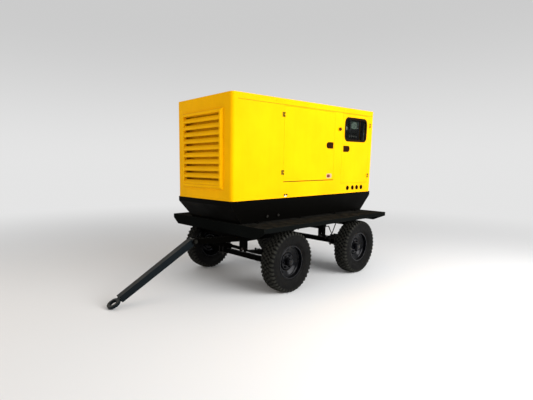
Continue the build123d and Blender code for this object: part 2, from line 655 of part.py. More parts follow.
def louvre():
    """Proud bevelled frame with slanted blades over an opening in the front wall."""
    low, high = LOUVRE_Z
    middle = (low + high) / 2
    back = Plane(origin=(0, 0, middle), x_dir=(1, 0, 0), z_dir=(0, -1, 0))
    face = Plane(origin=(0, -LOUVRE_PROUD, middle), x_dir=(1, 0, 0), z_dir=(0, -1, 0))
    height = high - low
    bevel = 18
    shape = loft(
        [
            back * Rectangle(2 * LOUVRE_HALF_WIDTH, height),
            face * Rectangle(2 * (LOUVRE_HALF_WIDTH - bevel), height - 2 * bevel),
        ]
    )
    opening = (low + LOUVRE_RIM, high - LOUVRE_RIM)
    shape -= block(about(0, LOUVRE_HALF_WIDTH - LOUVRE_RIM), (-LOUVRE_PROUD - 1, 1), opening)
    blade_x = LOUVRE_HALF_WIDTH - LOUVRE_RIM + 6
    for number in range(LOUVRE_SLOTS):
        edge_z = opening[1] - LOUVRE_PITCH * number
        lowest = edge_z - 58
        outline = Polyline(
            (-LOUVRE_PROUD + 2, lowest), (-LOUVRE_PROUD + 2, lowest - 4), (-LOUVRE_PROUD + 5, lowest - 4),
            (-4, edge_z), (-4, edge_z + 6), (-8, edge_z + 6), close=True,
        )
        plane = Plane(origin=(-blade_x, 0, 0), x_dir=(0, 1, 0), z_dir=(1, 0, 0))
        shape += extrude(plane * make_face(outline), 2 * blade_x)
    return shape


def rear_louvre():
    """The same louvre turned round onto the rear wall."""
    return Pos(0, CANOPY_LENGTH, 0) * Rot(Z=180) * louvre()


# ---- doors
def knuckle(hinge_y, height, toward):
    """Door half of a weld-on hinge: the middle knuckle and its leaf."""
    axis_x = HW + HINGE_OFFSET
    z = BASE_TOP_Z + height
    part = rod("z", (axis_x, hinge_y, z - 9.5), 19, 7)
    part += block((HW, HW + 3), sorted((hinge_y + toward * 9, hinge_y + toward * 40)), about(z, 30))
    part += block((HW + 1, HW + 5), sorted((hinge_y, hinge_y + toward * 12)), about(z, 9.5))
    return part - rod("z", (axis_x, hinge_y, z - 10), 20, 4 + RUNNING_GAP)


def hinge_bracket(hinge_y, height, toward):
    """Canopy half of the hinge: a leaf, the two outer knuckles and the pin."""
    axis_x = HW + HINGE_OFFSET
    z = BASE_TOP_Z + height
    part = block((HW, HW + 3), sorted((hinge_y - toward * 9, hinge_y - toward * 40)), about(z, 30))
    for low in (z - 30, z + 10):
        part += rod("z", (axis_x, hinge_y, low), 20, 7)
        part += block((HW + 1, HW + 5), sorted((hinge_y, hinge_y - toward * 12)), (low, low + 20))
    return part + rod("z", (axis_x, hinge_y, z - 30), 60, 4)


def latch_hole(latch):
    return side_plate((HW - 40, HW + 1), (latch[0], BASE_TOP_Z + latch[1]), (128, 66), 10)


def door(opening, hinge_y, hinge_heights, toward, latch):
    """Sheet-metal pan with its hinge knuckles and the cut-out for its latch."""
    pan = side_opening(grown(opening, -DOOR_GAP), (HW - DOOR_DEPTH, HW))
    pan -= side_opening(grown(opening, -DOOR_GAP - SKIN), (HW - DOOR_DEPTH - 1, HW - SKIN))
    for height in hinge_heights:
        pan += knuckle(hinge_y, height, toward)
    return pan - latch_hole(latch)


def engine_door():
    return door(ENGINE_DOOR, ENGINE_HINGE_Y, ENGINE_HINGES, 1, ENGINE_LATCH)


def window_plate(x, inset):
    centre = (WINDOW_CENTRE[0], BASE_TOP_Z + WINDOW_CENTRE[1])
    size = (WINDOW_SIZE[0] - 2 * inset, WINDOW_SIZE[1] - 2 * inset)
    return side_plate(x, centre, size, WINDOW_CORNER - inset)


def control_door():
    pan = door(CONTROL_DOOR, CONTROL_HINGE_Y, CONTROL_HINGES, -1, CONTROL_LATCH)
    return pan - window_plate((HW - 9, HW + 1), 10)


def window_seal():
    """Rubber profile: a lip outside the door skin, and a core with the groove for the glass."""
    seal = window_plate((HW, HW + 4), 0) + window_plate((HW - 10, HW), 10)
    seal -= window_plate((HW - 11, HW + 5), SEAL_WIDTH)
    return seal - window_plate((HW - 7, HW - 3), 17)


def latch_cup(latch, toward):
    """Latch housing, square at its free end and rounded at the paddle's pivot end."""
    y, z = latch[0], BASE_TOP_Z + latch[1]
    half_length, radius = LATCH_SIZE[0] / 2, LATCH_SIZE[1] / 2
    round_y = y - toward * (half_length - radius)
    cup = block((HW, HW + 4), sorted((round_y, y + toward * half_length)), about(z, radius))
    cup += rod("x", (HW, round_y, z), 4, radius)
    cup += block((HW - 27, HW), about(y, 64), about(z, 33)) & latch_hole(latch)
    cup -= block((HW - 24, HW + 5), about(y, LATCH_POCKET[0] / 2), about(z, LATCH_POCKET[1] / 2))
    pivot_y = y - toward * (LATCH_POCKET[0] / 2 - 12)
    return cup - rod("z", (PADDLE_AXIS_X, pivot_y, z - 31.5), 63, 4 + RUNNING_GAP)


def latch_handle(latch, toward):
    """Paddle that lifts out of its housing about trunnions at one end."""
    y, z = latch[0], BASE_TOP_Z + latch[1]
    pivot_y = y - toward * (LATCH_POCKET[0] / 2 - 12)
    free_y = y + toward * (LATCH_POCKET[0] / 2 - 4)
    paddle = block((HW - 8, HW + 3), sorted((pivot_y, free_y)), about(z, 26))
    paddle -= block((HW - 9, HW - 3), sorted((pivot_y + toward * 12, free_y)), about(z, 22))
    paddle += rod("z", (PADDLE_AXIS_X, pivot_y, z - 26), 52, 8)
    return paddle + rod("z", (PADDLE_AXIS_X, pivot_y, z - 31), 62, 4)


def stop_button():
    """Mushroom push button on its stem."""
    y, z = STOP_BUTTON[0], BASE_TOP_Z + STOP_BUTTON[1]
    head = rod("x", (HW + 16, y, z), 14, 24)
    head = fillet(head.edges().filter_by(GeomType.CIRCLE).sort_by(Axis.X)[-1:], 5)
    return head + rod("x", (HW - 35, y, z), 52, 11)


def cable_grommets():
    """Rubber rings that line the four cable outlets."""
    rings = []
    for station in CABLE_OUTLETS:
        place = (station, BASE_TOP_Z + CABLE_OUTLET_HEIGHT)
        ring = rod("x", (HW - 7, *place), 11, 35)
        ring -= pipe("x", (HW - SKIN, *place), SKIN, 36, CABLE_HOLE_RADIUS)
        rings.append(ring - rod("x", (HW - 8, *place), 14, 22))
    return rings


# ---- engine
def feet(stations, web_x, web_top):
    """Flat feet on webs, standing on the rubber mounts."""
    bottom = BASE_TOP_Z + MOUNT_HEIGHT
    parts = []
    for y in stations:
        for side in (-1, 1):
            foot_x = sorted((side * web_x[0], side * (MOUNT_X + 45)))
            parts.append(block(foot_x, about(y, 40), (bottom, bottom + 16)))
            parts.append(block(sorted((side * web_x[0], side * web_x[1])), about(y, 40), (bottom, web_top)))
    return parts


def engine_block():
    """Ribbed crankcase with its flywheel housing, feet and the fan-bearing boss."""
    part = block(about(0, 150), BLOCK_Y, (1400, 1700))
    for rib in range(6):
        y = BLOCK_Y[0] + 100 + 140 * rib
        part += block(about(0, 162), about(y, 9), (1420, 1685))
    part += rod("y", (0, FLYWHEEL_Y[0], CRANK_Z), FLYWHEEL_Y[1] - FLYWHEEL_Y[0], 235)
    part += block(about(0, 50), (392, 401), (1600, FAN_Z))
    part += rod("y", (0, 390, FAN_Z), 30, 40)
    for foot in feet(MOUNT_STATIONS[:2], (145, 168), 1420):
        part += foot
    for bay in range(6):
        y = BLOCK_Y[0] + 32 + 140 * bay
        part -= block(about(0, 128), (y, y + 110), (1399, 1600))
    part -= rod("y", (0, FLYWHEEL_Y[0], CRANK_Z), 100, 212)
    part -= rod("y", (0, 380, CRANK_Z), 940, 45 + RUNNING_GAP)
    return part - rod("y", (0, 389, FAN_Z), 24, 15 + RUNNING_GAP)


def cylinder_head():
    """Head with its rocker cover and the exhaust manifold along one side."""
    y = (421, 1280)
    part = block(about(0, 112), y, (1700, 1815))
    cover = block(about(0, 85), (450, 1250), (1815, 1885))
    part += fillet(cover.edges().filter_by(Axis.Y).sort_by(Axis.Z)[-2:], 25)
    part -= block(about(0, 77), (458, 1242), (1790, 1877))
    part -= rod("z", (0, 700, 1870), 20, 22)
    part += block((-175, -112), (470, 1230), (1735, 1795))
    for number in range(6):
        part += rod("x", (-190, 540 + 130 * number, 1765), 80, 22)
    for gallery in (-55, 55):
        part -= rod("y", (gallery, 420, 1745), 862, 28)
    return part


def oil_sump():
    """Sump that steps down towards the flywheel end."""
    part = block(about(0, 138), (421, 1280), (1340, 1400)) + block(about(0, 130), (840, 1270), (1270, 1345))
    part -= block(about(0, 132), (427, 1274), (1346, 1401))
    return part - block(about(0, 124), (846, 1264), (1276, 1401))


def crankshaft():
    """Crankshaft with its front pulley and flywheel."""
    part = rod("y", (0, 335, CRANK_Z), 1365 - 335, 45)
    part += rod("y", (0, PULLEY_Y[0], CRANK_Z), PULLEY_Y[1] - PULLEY_Y[0], CRANK_PULLEY)
    return part + rod("y", (0, 1310, CRANK_Z), 55, 205)


def alternator_rotor():
    """Rotor core with salient poles on its shaft, bolted to the flywheel."""
    part = rod("y", (0, 1365, CRANK_Z), 640, 35)
    part += rod("y", (0, 1365, CRANK_Z), 30, 80)
    core = rod("y", (0, 1480, CRANK_Z), 400, 123)
    for quarter in range(4):
        slot = block(about(0, 16), (1479, 1881), (90, 130))
        core -= Pos(0, 0, CRANK_Z) * Rot(Y=45 + 90 * quarter) * slot
    return part + core


def alternator_stator():
    """Alternator housing with cooling ribs, end bearing, terminal box and feet."""
    start, end = STATOR_Y
    part = rod("y", (0, start, CRANK_Z), end - start, 228)
    for turn in range(12):
        angle = 30 * turn + 15
        rib = block(about(0, 6), (start + 60, end - 90), (220, 240))
        part += Pos(0, 0, CRANK_Z) * Rot(Y=angle) * rib
    part += block(about(0, 170), (1600, 1950), (CRANK_Z + 190, CRANK_Z + 340))
    part -= block(about(0, 160), (1610, 1940), (CRANK_Z + 235, CRANK_Z + 341))
    part += block(about(0, 176), (1594, 1956), (CRANK_Z + 340, CRANK_Z + 350))
    for foot in feet(MOUNT_STATIONS[2:], (120, 150), 1360):
        part += foot
    part -= pipe("y", (0, start + 50, CRANK_Z), end - start - 100, 216, 186)
    for turn in range(8):
        angle = math.radians(45 * turn)
        vent = (201 * math.cos(angle), end - 60, CRANK_Z + 201 * math.sin(angle))
        part -= rod("y", vent, 61, 13)
    part -= rod("y", (0, start - 1, CRANK_Z), 40, 90)
    part -= rod("y", (0, start + 35, CRANK_Z), end - start - 90, 125)
    return part - rod("y", (0, start, CRANK_Z), end - start + 1, 35 + RUNNING_GAP)


def rubber_mounts():
    """Round rubber mounts under the engine and alternator feet."""
    parts = []
    for station in MOUNT_STATIONS:
        for side in (-1, 1):
            parts.append(rod("z", (side * MOUNT_X, station, BASE_TOP_Z), MOUNT_HEIGHT, 36))
    return parts


def radiator():
    """Core between a top tank with its filler and a bottom tank, on two side frames."""
    part = block(about(0, 365), (135, 190), (1255, 2135))
    part += block(about(0, 380), (115, 201), (2130, 2215))
    part += block(about(0, 380), (115, 201), (BASE_TOP_Z, 1262))
    part += rod("z", (0, 158, 2215), 30, 32)
    for side in (-1, 1):
        part += block(about(side * 372, 14), (115, 201), (1255, 2135))
    return part


def fan_shroud():
    """Plate behind the radiator with a ring round the fan."""
    part = block(about(0, 358), (190, 194), (1262, 2130))
    part += rod("y", (0, 190, FAN_Z), 105, 276)
    return part - rod("y", (0, 189, FAN_Z), 120, 270)


def cooling_fan():
    """Seven-bladed fan with its belt pulley and shaft."""
    part = rod("y", (0, 245, FAN_Z), 60, 60)
    for number in range(7):
        blade = Pos(0, 252, 150) * Rot(Z=32) * Box(92, 4, 204)
        part += Pos(0, 0, FAN_Z) * Rot(Y=360 / 7 * number) * blade
    part += rod("y", (0, 300, FAN_Z), 111, 15)
    return part + rod("y", (0, PULLEY_Y[0], FAN_Z), PULLEY_Y[1] - PULLEY_Y[0], FAN_PULLEY)


def belt_outline(extra):
    """Outline round both pulleys, at a distance from their rims."""
    lean = math.asin((CRANK_PULLEY - FAN_PULLEY) / (FAN_Z - CRANK_Z))
    points = []
    for z, radius, sides in ((CRANK_Z, CRANK_PULLEY, (-1, 1)), (FAN_Z, FAN_PULLEY, (1, -1))):
        reach = radius + extra
        for side in sides:
            points.append((side * reach * math.cos(lean), z + reach * math.sin(lean)))
    sides = make_face(Polyline(*points, close=True))
    return sides + Pos(0, CRANK_Z) * Circle(CRANK_PULLEY + extra) + Pos(0, FAN_Z) * Circle(FAN_PULLEY + extra)


def fan_belt():
    plane = Plane(origin=(0, PULLEY_Y[0] + 8, 0), x_dir=(1, 0, 0), z_dir=(0, -1, 0))
    return extrude(plane * (belt_outline(9) - belt_outline(0.5)), -19)


def exhaust_silencer():
    """Hollow silencer with its down pipe to the manifold and the outlet through the roof."""
    rim_z = CANOPY_TOP_Z + OUTLET_RISE
    part = rod("y", (SILENCER_X, SILENCER_Y, SILENCER_Z), SILENCER_LENGTH, SILENCER_RADIUS)
    part = fillet(part.edges().filter_by(GeomType.CIRCLE), 20)
    part += rod("z", (SILENCER_X, 1100, 1795), 300, 32)
    part += rod("y", (SILENCER_X, OUTLET_Y, SILENCER_Z), 130, OUTLET_RADIUS)
    part += Pos(SILENCER_X, OUTLET_Y, SILENCER_Z) * Sphere(OUTLET_RADIUS)
    part += rod("z", (SILENCER_X, OUTLET_Y, SILENCER_Z), rim_z - SILENCER_Z, OUTLET_RADIUS)
    for x in (-24, 12):
        part += flap_lug((SILENCER_X + x, SILENCER_X + x + 12), rim_z + FLAP_PIN_RISE)
    bore = OUTLET_RADIUS - 4
    hollow = rod("y", (SILENCER_X, SILENCER_Y + 4, SILENCER_Z), SILENCER_LENGTH - 8, SILENCER_RADIUS - 4)
    part -= fillet(hollow.edges().filter_by(GeomType.CIRCLE), 16)
    part -= rod("y", (SILENCER_X, OUTLET_Y, SILENCER_Z), 130, bore)
    part -= Pos(SILENCER_X, OUTLET_Y, SILENCER_Z) * Sphere(bore)
    return part - rod("z", (SILENCER_X, OUTLET_Y, SILENCER_Z), rim_z - SILENCER_Z, bore)


def flap_lug(x, pin_z):
    """Ear behind the outlet for the rain flap's pin, rounded so that the lid swings past it."""
    pin_y = OUTLET_Y + FLAP_PIN_OFFSET
    lug = block(x, (OUTLET_Y + 34, pin_y + 9), (pin_z - 34, pin_z - 8))
    lug += block(x, (pin_y - 7, pin_y + 9), (pin_z - 9, pin_z))
    lug += rod("x", (x[0], pin_y, pin_z), x[1] - x[0], 9)
    return lug - rod("x", (x[0] - 1, pin_y, pin_z), x[1] - x[0] + 2, 4 + RUNNING_GAP)


def rain_flap():
    """Weighted lid that rests on the outlet and lifts about a pin behind it."""
    rim_z = CANOPY_TOP_Z + OUTLET_RISE
    pin = (OUTLET_Y + FLAP_PIN_OFFSET, rim_z + FLAP_PIN_RISE)
    part = rod("z", (SILENCER_X, OUTLET_Y, rim_z + 0.5), 3.5, OUTLET_RADIUS + 4)
    part += block(about(SILENCER_X, 11), (OUTLET_Y + 20, pin[0]), (rim_z + 0.5, rim_z + 7))
    part += rod("x", (SILENCER_X - 11, *pin), 22, 7)
    return part + rod("x", (SILENCER_X - 24, *pin), 48, 4)


def air_cleaner():
    """Canister with a dust bowl, and the intake pipe down to the head."""
    part = rod("y", (225, 800, 2010), 350, 92) + rod("y", (225, 785, 2010), 390, 80)
    part += rod("z", (225, 1000, 1780), 200, 34)
    part += Pos(225, 1000, 1780) * Sphere(34)
    return part + rod("x", (112, 1000, 1780), 113, 34)


# ---- electrics
def control_cabinet():
    """Open-fronted sheet cabinet on two legs."""
    part = block(CABINET_X, CABINET_Y, CABINET_Z)
    inside_y = (CABINET_Y[0] + SKIN, CABINET_Y[1] - SKIN)
    inside_z = (CABINET_Z[0] + SKIN, CABINET_Z[1] - SKIN)
    part -= block((CABINET_X[0] + SKIN, CABINET_X[1] + 1), inside_y, inside_z)
    for y in (CABINET_Y[0] + 25, CABINET_Y[1] - 25):
        part += block(about(CABINET_X[0] + 125, 25), about(y, 25), (BASE_TOP_Z, CABINET_Z[0] + 1))
    return part


def control_panel():
    """Front plate with the controller, and the breaker's case with its slot."""
    plate = block((CABINET_X[1], CABINET_X[1] + 3), CABINET_Y, CABINET_Z)
    front = CABINET_X[1] + SKIN
    plate += block((front, front + 22), CONTROLLER_Y, CONTROLLER_Z)
    case = block((front, front + 28), about(BREAKER[0], 48), about(BREAKER[1], 75))
    case -= block((front + 6, front + 29), about(BREAKER[0], 9), about(BREAKER[1], 36))
    case -= rod("y", (front + 12, BREAKER[0] - 20, BREAKER[1]), 40, 5 + RUNNING_GAP)
    return plate + case


def breaker_lever():
    """Toggle that tips about a cross pin in the breaker's slot."""
    x = CABINET_X[1] + SKIN + 12
    part = rod("y", (x, BREAKER[0] - 19, BREAKER[1]), 38, 5)
    return part + block((x, x + 50), about(BREAKER[0], 7), about(BREAKER[1], 6))


def battery():
    """Starter battery on its tray with two terminal posts."""
    tray = block((-470, -270), (2230, 2600), (BASE_TOP_Z + SKIN, BASE_TOP_Z + SKIN + 8))
    case = block((-455, -285), (2245, 2585), (BASE_TOP_Z + SKIN + 8, BASE_TOP_Z + 225))
    for y in (2300, 2530):
        case += rod("z", (-320, y, BASE_TOP_Z + 225), 18, 9)
    return [tray, case]


# ---- write every node
def save_corner(place, axle_y, mirrored):
    rubber = tyre(axle_y)
    metal = wheel(axle_y)
    if mirrored:
        rubber = across(rubber)
        metal = [across(piece) for piece in metal]
    save(f"{place}_tyre", rubber)
    save(f"{place}_wheel", *metal)


save_corner("front_left", FRONT_AXLE_Y, False)
save_corner("front_right", FRONT_AXLE_Y, True)
save_corner("rear_left", REAR_AXLE_Y, False)
save_corner("rear_right", REAR_AXLE_Y, True)

for place, end in (("front", FRONT), ("rear", REAR)):
    leaves = leaf_spring(end)
    clamps = u_bolts(end)
    save(f"{place}_axle", axle(end))
    save(f"{place}_leaf_springs", *leaves, *[across(leaf) for leaf in leaves])
    save(f"{place}_spring_u_bolts", *clamps, *[across(clamp) for clamp in clamps])

save("deck", deck())
save("chassis_frame", chassis_frame())
save("turntable_upper_ring", *turntable_upper_ring())
save("bogie_frame", bogie_frame())
save("drawbar_pin", *drawbar_pin())
save("drawbar", drawbar())
save("tow_eye", tow_eye())

save("base_tank", base_tank())
save("drain_plugs", *drain_plugs())
save("fuel_cap", fuel_cap())
save("canopy_body", canopy_body())
save("roof_panel", roof_panel())
save("front_louvre", louvre())
save("rear_louvre", rear_louvre())
save("cable_grommets", *cable_grommets())

brackets = [hinge_bracket(ENGINE_HINGE_Y, height, 1) for height in ENGINE_HINGES]
brackets += [across(bracket) for bracket in brackets]
brackets += [hinge_bracket(CONTROL_HINGE_Y, height, -1) for height in CONTROL_HINGES]
save("door_hinges", *brackets)
save("left_engine_door", engine_door())
save("left_engine_latch_cup", latch_cup(ENGINE_LATCH, 1))
save("left_engine_latch_handle", latch_handle(ENGINE_LATCH, 1))
save("right_engine_door", across(engine_door()))
save("right_engine_latch_cup", across(latch_cup(ENGINE_LATCH, 1)))
save("right_engine_latch_handle", across(latch_handle(ENGINE_LATCH, 1)))
save("left_control_door", control_door())
save("left_control_latch_cup", latch_cup(CONTROL_LATCH, -1))
save("left_control_latch_handle", latch_handle(CONTROL_LATCH, -1))
save("window_seal", window_seal())
save("window_glass", window_plate((HW - 7, HW - 3), 17))
save("emergency_stop_button", stop_button())

save("engine_block", engine_block())
save("cylinder_head", cylinder_head())
save("oil_sump", oil_sump())
save("crankshaft", crankshaft())
save("alternator_rotor", alternator_rotor())
save("alternator_stator", alternator_stator())
save("rubber_mounts", *rubber_mounts())
save("radiator", radiator())
save("fan_shroud", fan_shroud())
save("cooling_fan", cooling_fan())
save("fan_belt", fan_belt())
save("exhaust_silencer", exhaust_silencer())
save("exhaust_rain_flap", rain_flap())
save("air_cleaner", air_cleaner())

save("control_cabinet", control_cabinet())
save("control_panel", control_panel())
save("breaker_lever", breaker_lever())
save("battery", *battery())
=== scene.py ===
import json
import math

import bmesh
import bpy
from mathutils import Matrix, Vector


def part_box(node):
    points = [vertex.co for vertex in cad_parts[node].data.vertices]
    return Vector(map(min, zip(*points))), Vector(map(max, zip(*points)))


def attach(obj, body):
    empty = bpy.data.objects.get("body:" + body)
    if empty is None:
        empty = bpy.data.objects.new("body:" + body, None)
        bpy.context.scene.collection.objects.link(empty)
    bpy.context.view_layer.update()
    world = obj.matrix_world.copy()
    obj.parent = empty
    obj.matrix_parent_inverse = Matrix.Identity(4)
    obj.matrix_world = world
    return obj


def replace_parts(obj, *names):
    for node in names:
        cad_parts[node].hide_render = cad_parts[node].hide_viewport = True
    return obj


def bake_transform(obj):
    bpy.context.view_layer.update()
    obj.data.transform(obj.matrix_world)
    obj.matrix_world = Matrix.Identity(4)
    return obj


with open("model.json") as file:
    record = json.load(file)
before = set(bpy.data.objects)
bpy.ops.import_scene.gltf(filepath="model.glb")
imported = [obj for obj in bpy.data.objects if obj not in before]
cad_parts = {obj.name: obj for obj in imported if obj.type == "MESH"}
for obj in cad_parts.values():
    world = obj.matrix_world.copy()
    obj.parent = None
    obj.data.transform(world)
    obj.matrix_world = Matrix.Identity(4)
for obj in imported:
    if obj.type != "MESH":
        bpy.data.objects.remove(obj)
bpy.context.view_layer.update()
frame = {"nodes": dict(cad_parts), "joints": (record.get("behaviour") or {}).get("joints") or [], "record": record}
NODES = frame["nodes"]
JOINTS = {joint["name"]: joint for joint in frame["joints"]}
TAU = 2 * math.pi
X_AXIS, Y_AXIS, Z_AXIS = (1, 0, 0), (0, 1, 0), (0, 0, 1)
CORNERS = ("front_left", "front_right", "rear_left", "rear_right")

# ---- places taken from the frame, in metres
canopy_low, canopy_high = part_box("canopy_body")
SIDE_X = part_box("roof_panel")[1].x
FRONT_Y = canopy_low.y
REAR_Y = canopy_high.y
BASE_Z = canopy_low.z
TOP_Z = canopy_high.z
DECK_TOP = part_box("deck")[1].z


def pivot(joint):
    """A joint's point at rest."""
    return Vector(JOINTS[joint]["pos_m"])


# ---- shader graphs
class Graph:
    """A node tree whose nodes are made, set and wired in one call."""

    def __init__(self, tree):
        self.tree = tree

    def put(self, target, value):
        if isinstance(value, bpy.types.NodeSocket):
            self.tree.links.new(value, target)
        else:
            target.default_value = value

    def node(self, kind, inputs, **settings):
        made = self.tree.nodes.new("ShaderNode" + kind)
        for key, value in settings.items():
            setattr(made, key, value)
        for key, value in inputs.items():
            self.put(made.inputs[key], value)
        return made


class Finish(Graph):
    """A Principled material wired up from procedural textures."""

    def __init__(self, name):
        self.material = bpy.data.materials.new(name)
        self.material.use_nodes = True
        super().__init__(self.material.node_tree)
        self.shader = self.tree.nodes["Principled BSDF"]
        self.place = self.node("TexCoord", {}).outputs["Object"]
        self.geometry = self.node("NewGeometry", {})

    def noise(self, scale, detail=3.0, stretch=(1, 1, 1)):
        spread = self.node("Mapping", {"Vector": self.place, "Scale": stretch})
        inputs = {"Vector": spread.outputs[0], "Scale": scale, "Detail": detail}
        return self.node("TexNoise", inputs).outputs[0]

    def cells(self, scale):
        return self.node("TexVoronoi", {"Vector": self.place, "Scale": scale}).outputs[0]

    def ramp(self, value, low, high, start=0.0, end=1.0):
        inputs = {"Value": value, "From Min": low, "From Max": high, "To Min": start, "To Max": end}
        return self.node("MapRange", inputs).outputs[0]

    def math(self, operation, first, second):
        return self.node("Math", {0: first, 1: second}, operation=operation).outputs[0]

    def mix(self, share, first, second):
        return self.node("Mix", {0: share, 6: first, 7: second}, data_type="RGBA").outputs[2]

    def edges(self, size):
        """1 on edges sharper than the size, 0 on open faces."""
        soft = self.node("Bevel", {"Radius": size}, samples=4).outputs[0]
        same = self.node("VectorMath", {0: soft, 1: self.geometry.outputs["Normal"]}, operation="DOT_PRODUCT")
        return self.ramp(same.outputs["Value"], 0.995, 0.90)

    def upward(self):
        """1 on faces that look up, 0 on walls."""
        parts = self.node("SeparateXYZ", {0: self.geometry.outputs["Normal"]})
        return self.ramp(parts.outputs[2], 0.45, 0.95)

    def uneven(self, scale, value, less, more, detail=4):
        """A value that drifts between two margins over the surface."""
        return self.ramp(self.noise(scale, detail), 0.3, 0.7, value - less, value + more)

    def rubbed(self, size, scale, detail, low, high, most):
        """Patches along the edges where the coat has worn away."""
        patches = self.ramp(self.noise(scale, detail), low, high, 0.0, most)
        return self.math("MULTIPLY", self.edges(size), patches)

    def bump(self, height, strength, distance):
        made = self.node("Bump", {"Height": height, "Strength": strength, "Distance": distance})
        self.put(self.shader.inputs["Normal"], made.outputs[0])

    def set(self, **values):
        for key, value in values.items():
            self.put(self.shader.inputs[key.replace("_", " ")], value)


def tint(colour, factor):
    return tuple(min(1.0, channel * factor) for channel in colour[:3]) + (1.0,)


def painted(name, colour, roughness, worn, dust=0.25, wear=0.6, gloss=0.15, cloud=2.2, coat=0.0):
    """Sprayed sheet metal: uneven tone, faint streaks, settled dust, edges rubbed to a lighter coat."""
    look = Finish(name)
    clouds = look.noise(cloud, 4)
    base = look.mix(look.ramp(clouds, 0.35, 0.65), tint(colour, 1.0), tint(colour, 0.90))
    streaks = look.ramp(look.noise(14, 3, (1, 1, 0.06)), 0.5, 0.75, 0.0, 0.08)
    base = look.mix(streaks, base, tint(colour, 0.6))
    settled = look.math("MULTIPLY", look.upward(), look.ramp(look.noise(9, 5), 0.35, 0.7, 0.2 * dust, dust))
    base = look.mix(settled, base, (0.16, 0.145, 0.12, 1))
    base = look.mix(look.rubbed(0.003, 35, 4, 0.42, 0.62, wear), base, tint(worn, 1.0))
    matt = look.math("ADD", look.uneven(5, roughness, 0.05, 0.07), settled)
    look.set(Base_Color=base, Roughness=matt, Specular_IOR_Level=gloss, Specular_Tint=tint(worn, 1.0))
    look.set(Coat_Weight=coat, Coat_Roughness=0.15)
    look.bump(look.noise(420, 2), 0.12, 0.0004)
    return look.material


def rubber(name, colour, roughness, dust=0.5, grain=0.35):
    """Moulded rubber: patchy tone, dried dirt and a fine grain."""
    look = Finish(name)
    patches = look.ramp(look.noise(7, 5), 0.3, 0.7)
    base = look.mix(patches, tint(colour, 1.0), tint(colour, 1.5))
    dirt = look.ramp(look.noise(22, 6), 0.45, 0.75, 0.0, dust)
    base = look.mix(dirt, base, (0.045, 0.043, 0.037, 1))
    look.set(Base_Color=base, Roughness=look.uneven(30, roughness, 0.08, 0.1), Specular_IOR_Level=0.05)
    look.bump(look.noise(700, 3), grain, 0.0004)
    return look.material


def metal(name, colour, roughness, stretch=(1, 1, 1), scale=90, stain=None, stained=0.3):
    """Bare or plated metal with drawn or mottled grain and a few stained patches."""
    look = Finish(name)
    grain = look.noise(scale, 4, stretch)
    base = look.mix(look.ramp(grain, 0.3, 0.7), tint(colour, 0.8), tint(colour, 1.15))
    bare = 1.0
    if stain:
        patches = look.noise(11, 6)
        base = look.mix(look.ramp(patches, 0.48, 0.7, 0.0, stained), base, tint(stain, 1.0))
        bare = look.ramp(patches, 0.5, 0.65, 1.0, 0.3)
    look.set(Base_Color=base, Metallic=bare)
    look.set(Roughness=look.ramp(grain, 0.3, 0.7, roughness - 0.07, roughness + 0.12))
    look.bump(grain, 0.15, 0.0003)
    return look.material


def casting(name, colour, roughness=0.5):
    """Painted casting: sandy skin, oily patches and chipped corners."""
    look = Finish(name)
    base = look.mix(look.ramp(look.noise(6, 5), 0.35, 0.65), tint(colour, 1.0), tint(colour, 0.72))
    oil = look.ramp(look.noise(3.5, 6), 0.55, 0.68, 0.0, 0.55)
    base = look.mix(oil, base, (0.02, 0.018, 0.014, 1))
    base = look.mix(look.rubbed(0.004, 40, 4, 0.5, 0.6, 0.7), base, (0.25, 0.24, 0.22, 1))
    look.set(Base_Color=base, Roughness=look.ramp(oil, 0.0, 0.5, roughness, 0.25))
    look.bump(look.noise(230, 5), 0.5, 0.0012)
    return look.material


def plastic(name, colour, roughness, grain=0.25, coat=0.0, gloss=0.3):
    """Moulded plastic: cell-like grain and paler scuffs on its edges."""
    look = Finish(name)
    base = look.mix(look.ramp(look.noise(12, 4), 0.35, 0.65), tint(colour, 1.0), tint(colour, 1.35))
    base = look.mix(look.rubbed(0.002, 60, 3, 0.4, 0.6, 0.5), base, tint(colour, 3.0))
    look.set(Base_Color=base, Roughness=look.uneven(25, roughness, 0.05, 0.08))
    look.set(Coat_Weight=coat, Specular_IOR_Level=gloss)
    look.bump(look.cells(900), grain, 0.0003)
    return look.material


def glass(name):
    """Clear door glass, slightly smoked, with a film of dust."""
    look = Finish(name)
    film = look.ramp(look.noise(8, 6), 0.45, 0.8, 0.02, 0.10)
    look.set(Base_Color=look.mix(film, (0.42, 0.44, 0.44, 1), (0.5, 0.48, 0.45, 1)))
    look.set(Roughness=look.ramp(film, 0.0, 0.1, 0.01, 0.06), Transmission_Weight=1.0, IOR=1.08)
    return look.material


def foam(name):
    """Acoustic lining: dark open-cell foam with a dimpled face, with painted shade in the dimples' hollows."""
    look = Finish(name)
    cells = look.cells(330)
    # painted shade: the cells that dent the face also darken it towards each dimple's hollow
    base = look.mix(look.ramp(cells, 0.1, 0.7), (0.012, 0.012, 0.013, 1), (0.05, 0.05, 0.052, 1))
    look.set(Base_Color=base, Roughness=0.95)
    look.bump(cells, 0.8, 0.002)
    return look.material


def screen(name):
    """Grey-green display that glows faintly."""
    look = Finish(name)
    rows = look.noise(120, 2, (1, 0.12, 1))
    base = look.mix(look.ramp(rows, 0.5, 0.56), (0.30, 0.38, 0.31, 1), (0.06, 0.09, 0.07, 1))
    look.set(Base_Color=base, Roughness=0.25, Emission_Color=base, Emission_Strength=0.35)
    return look.material


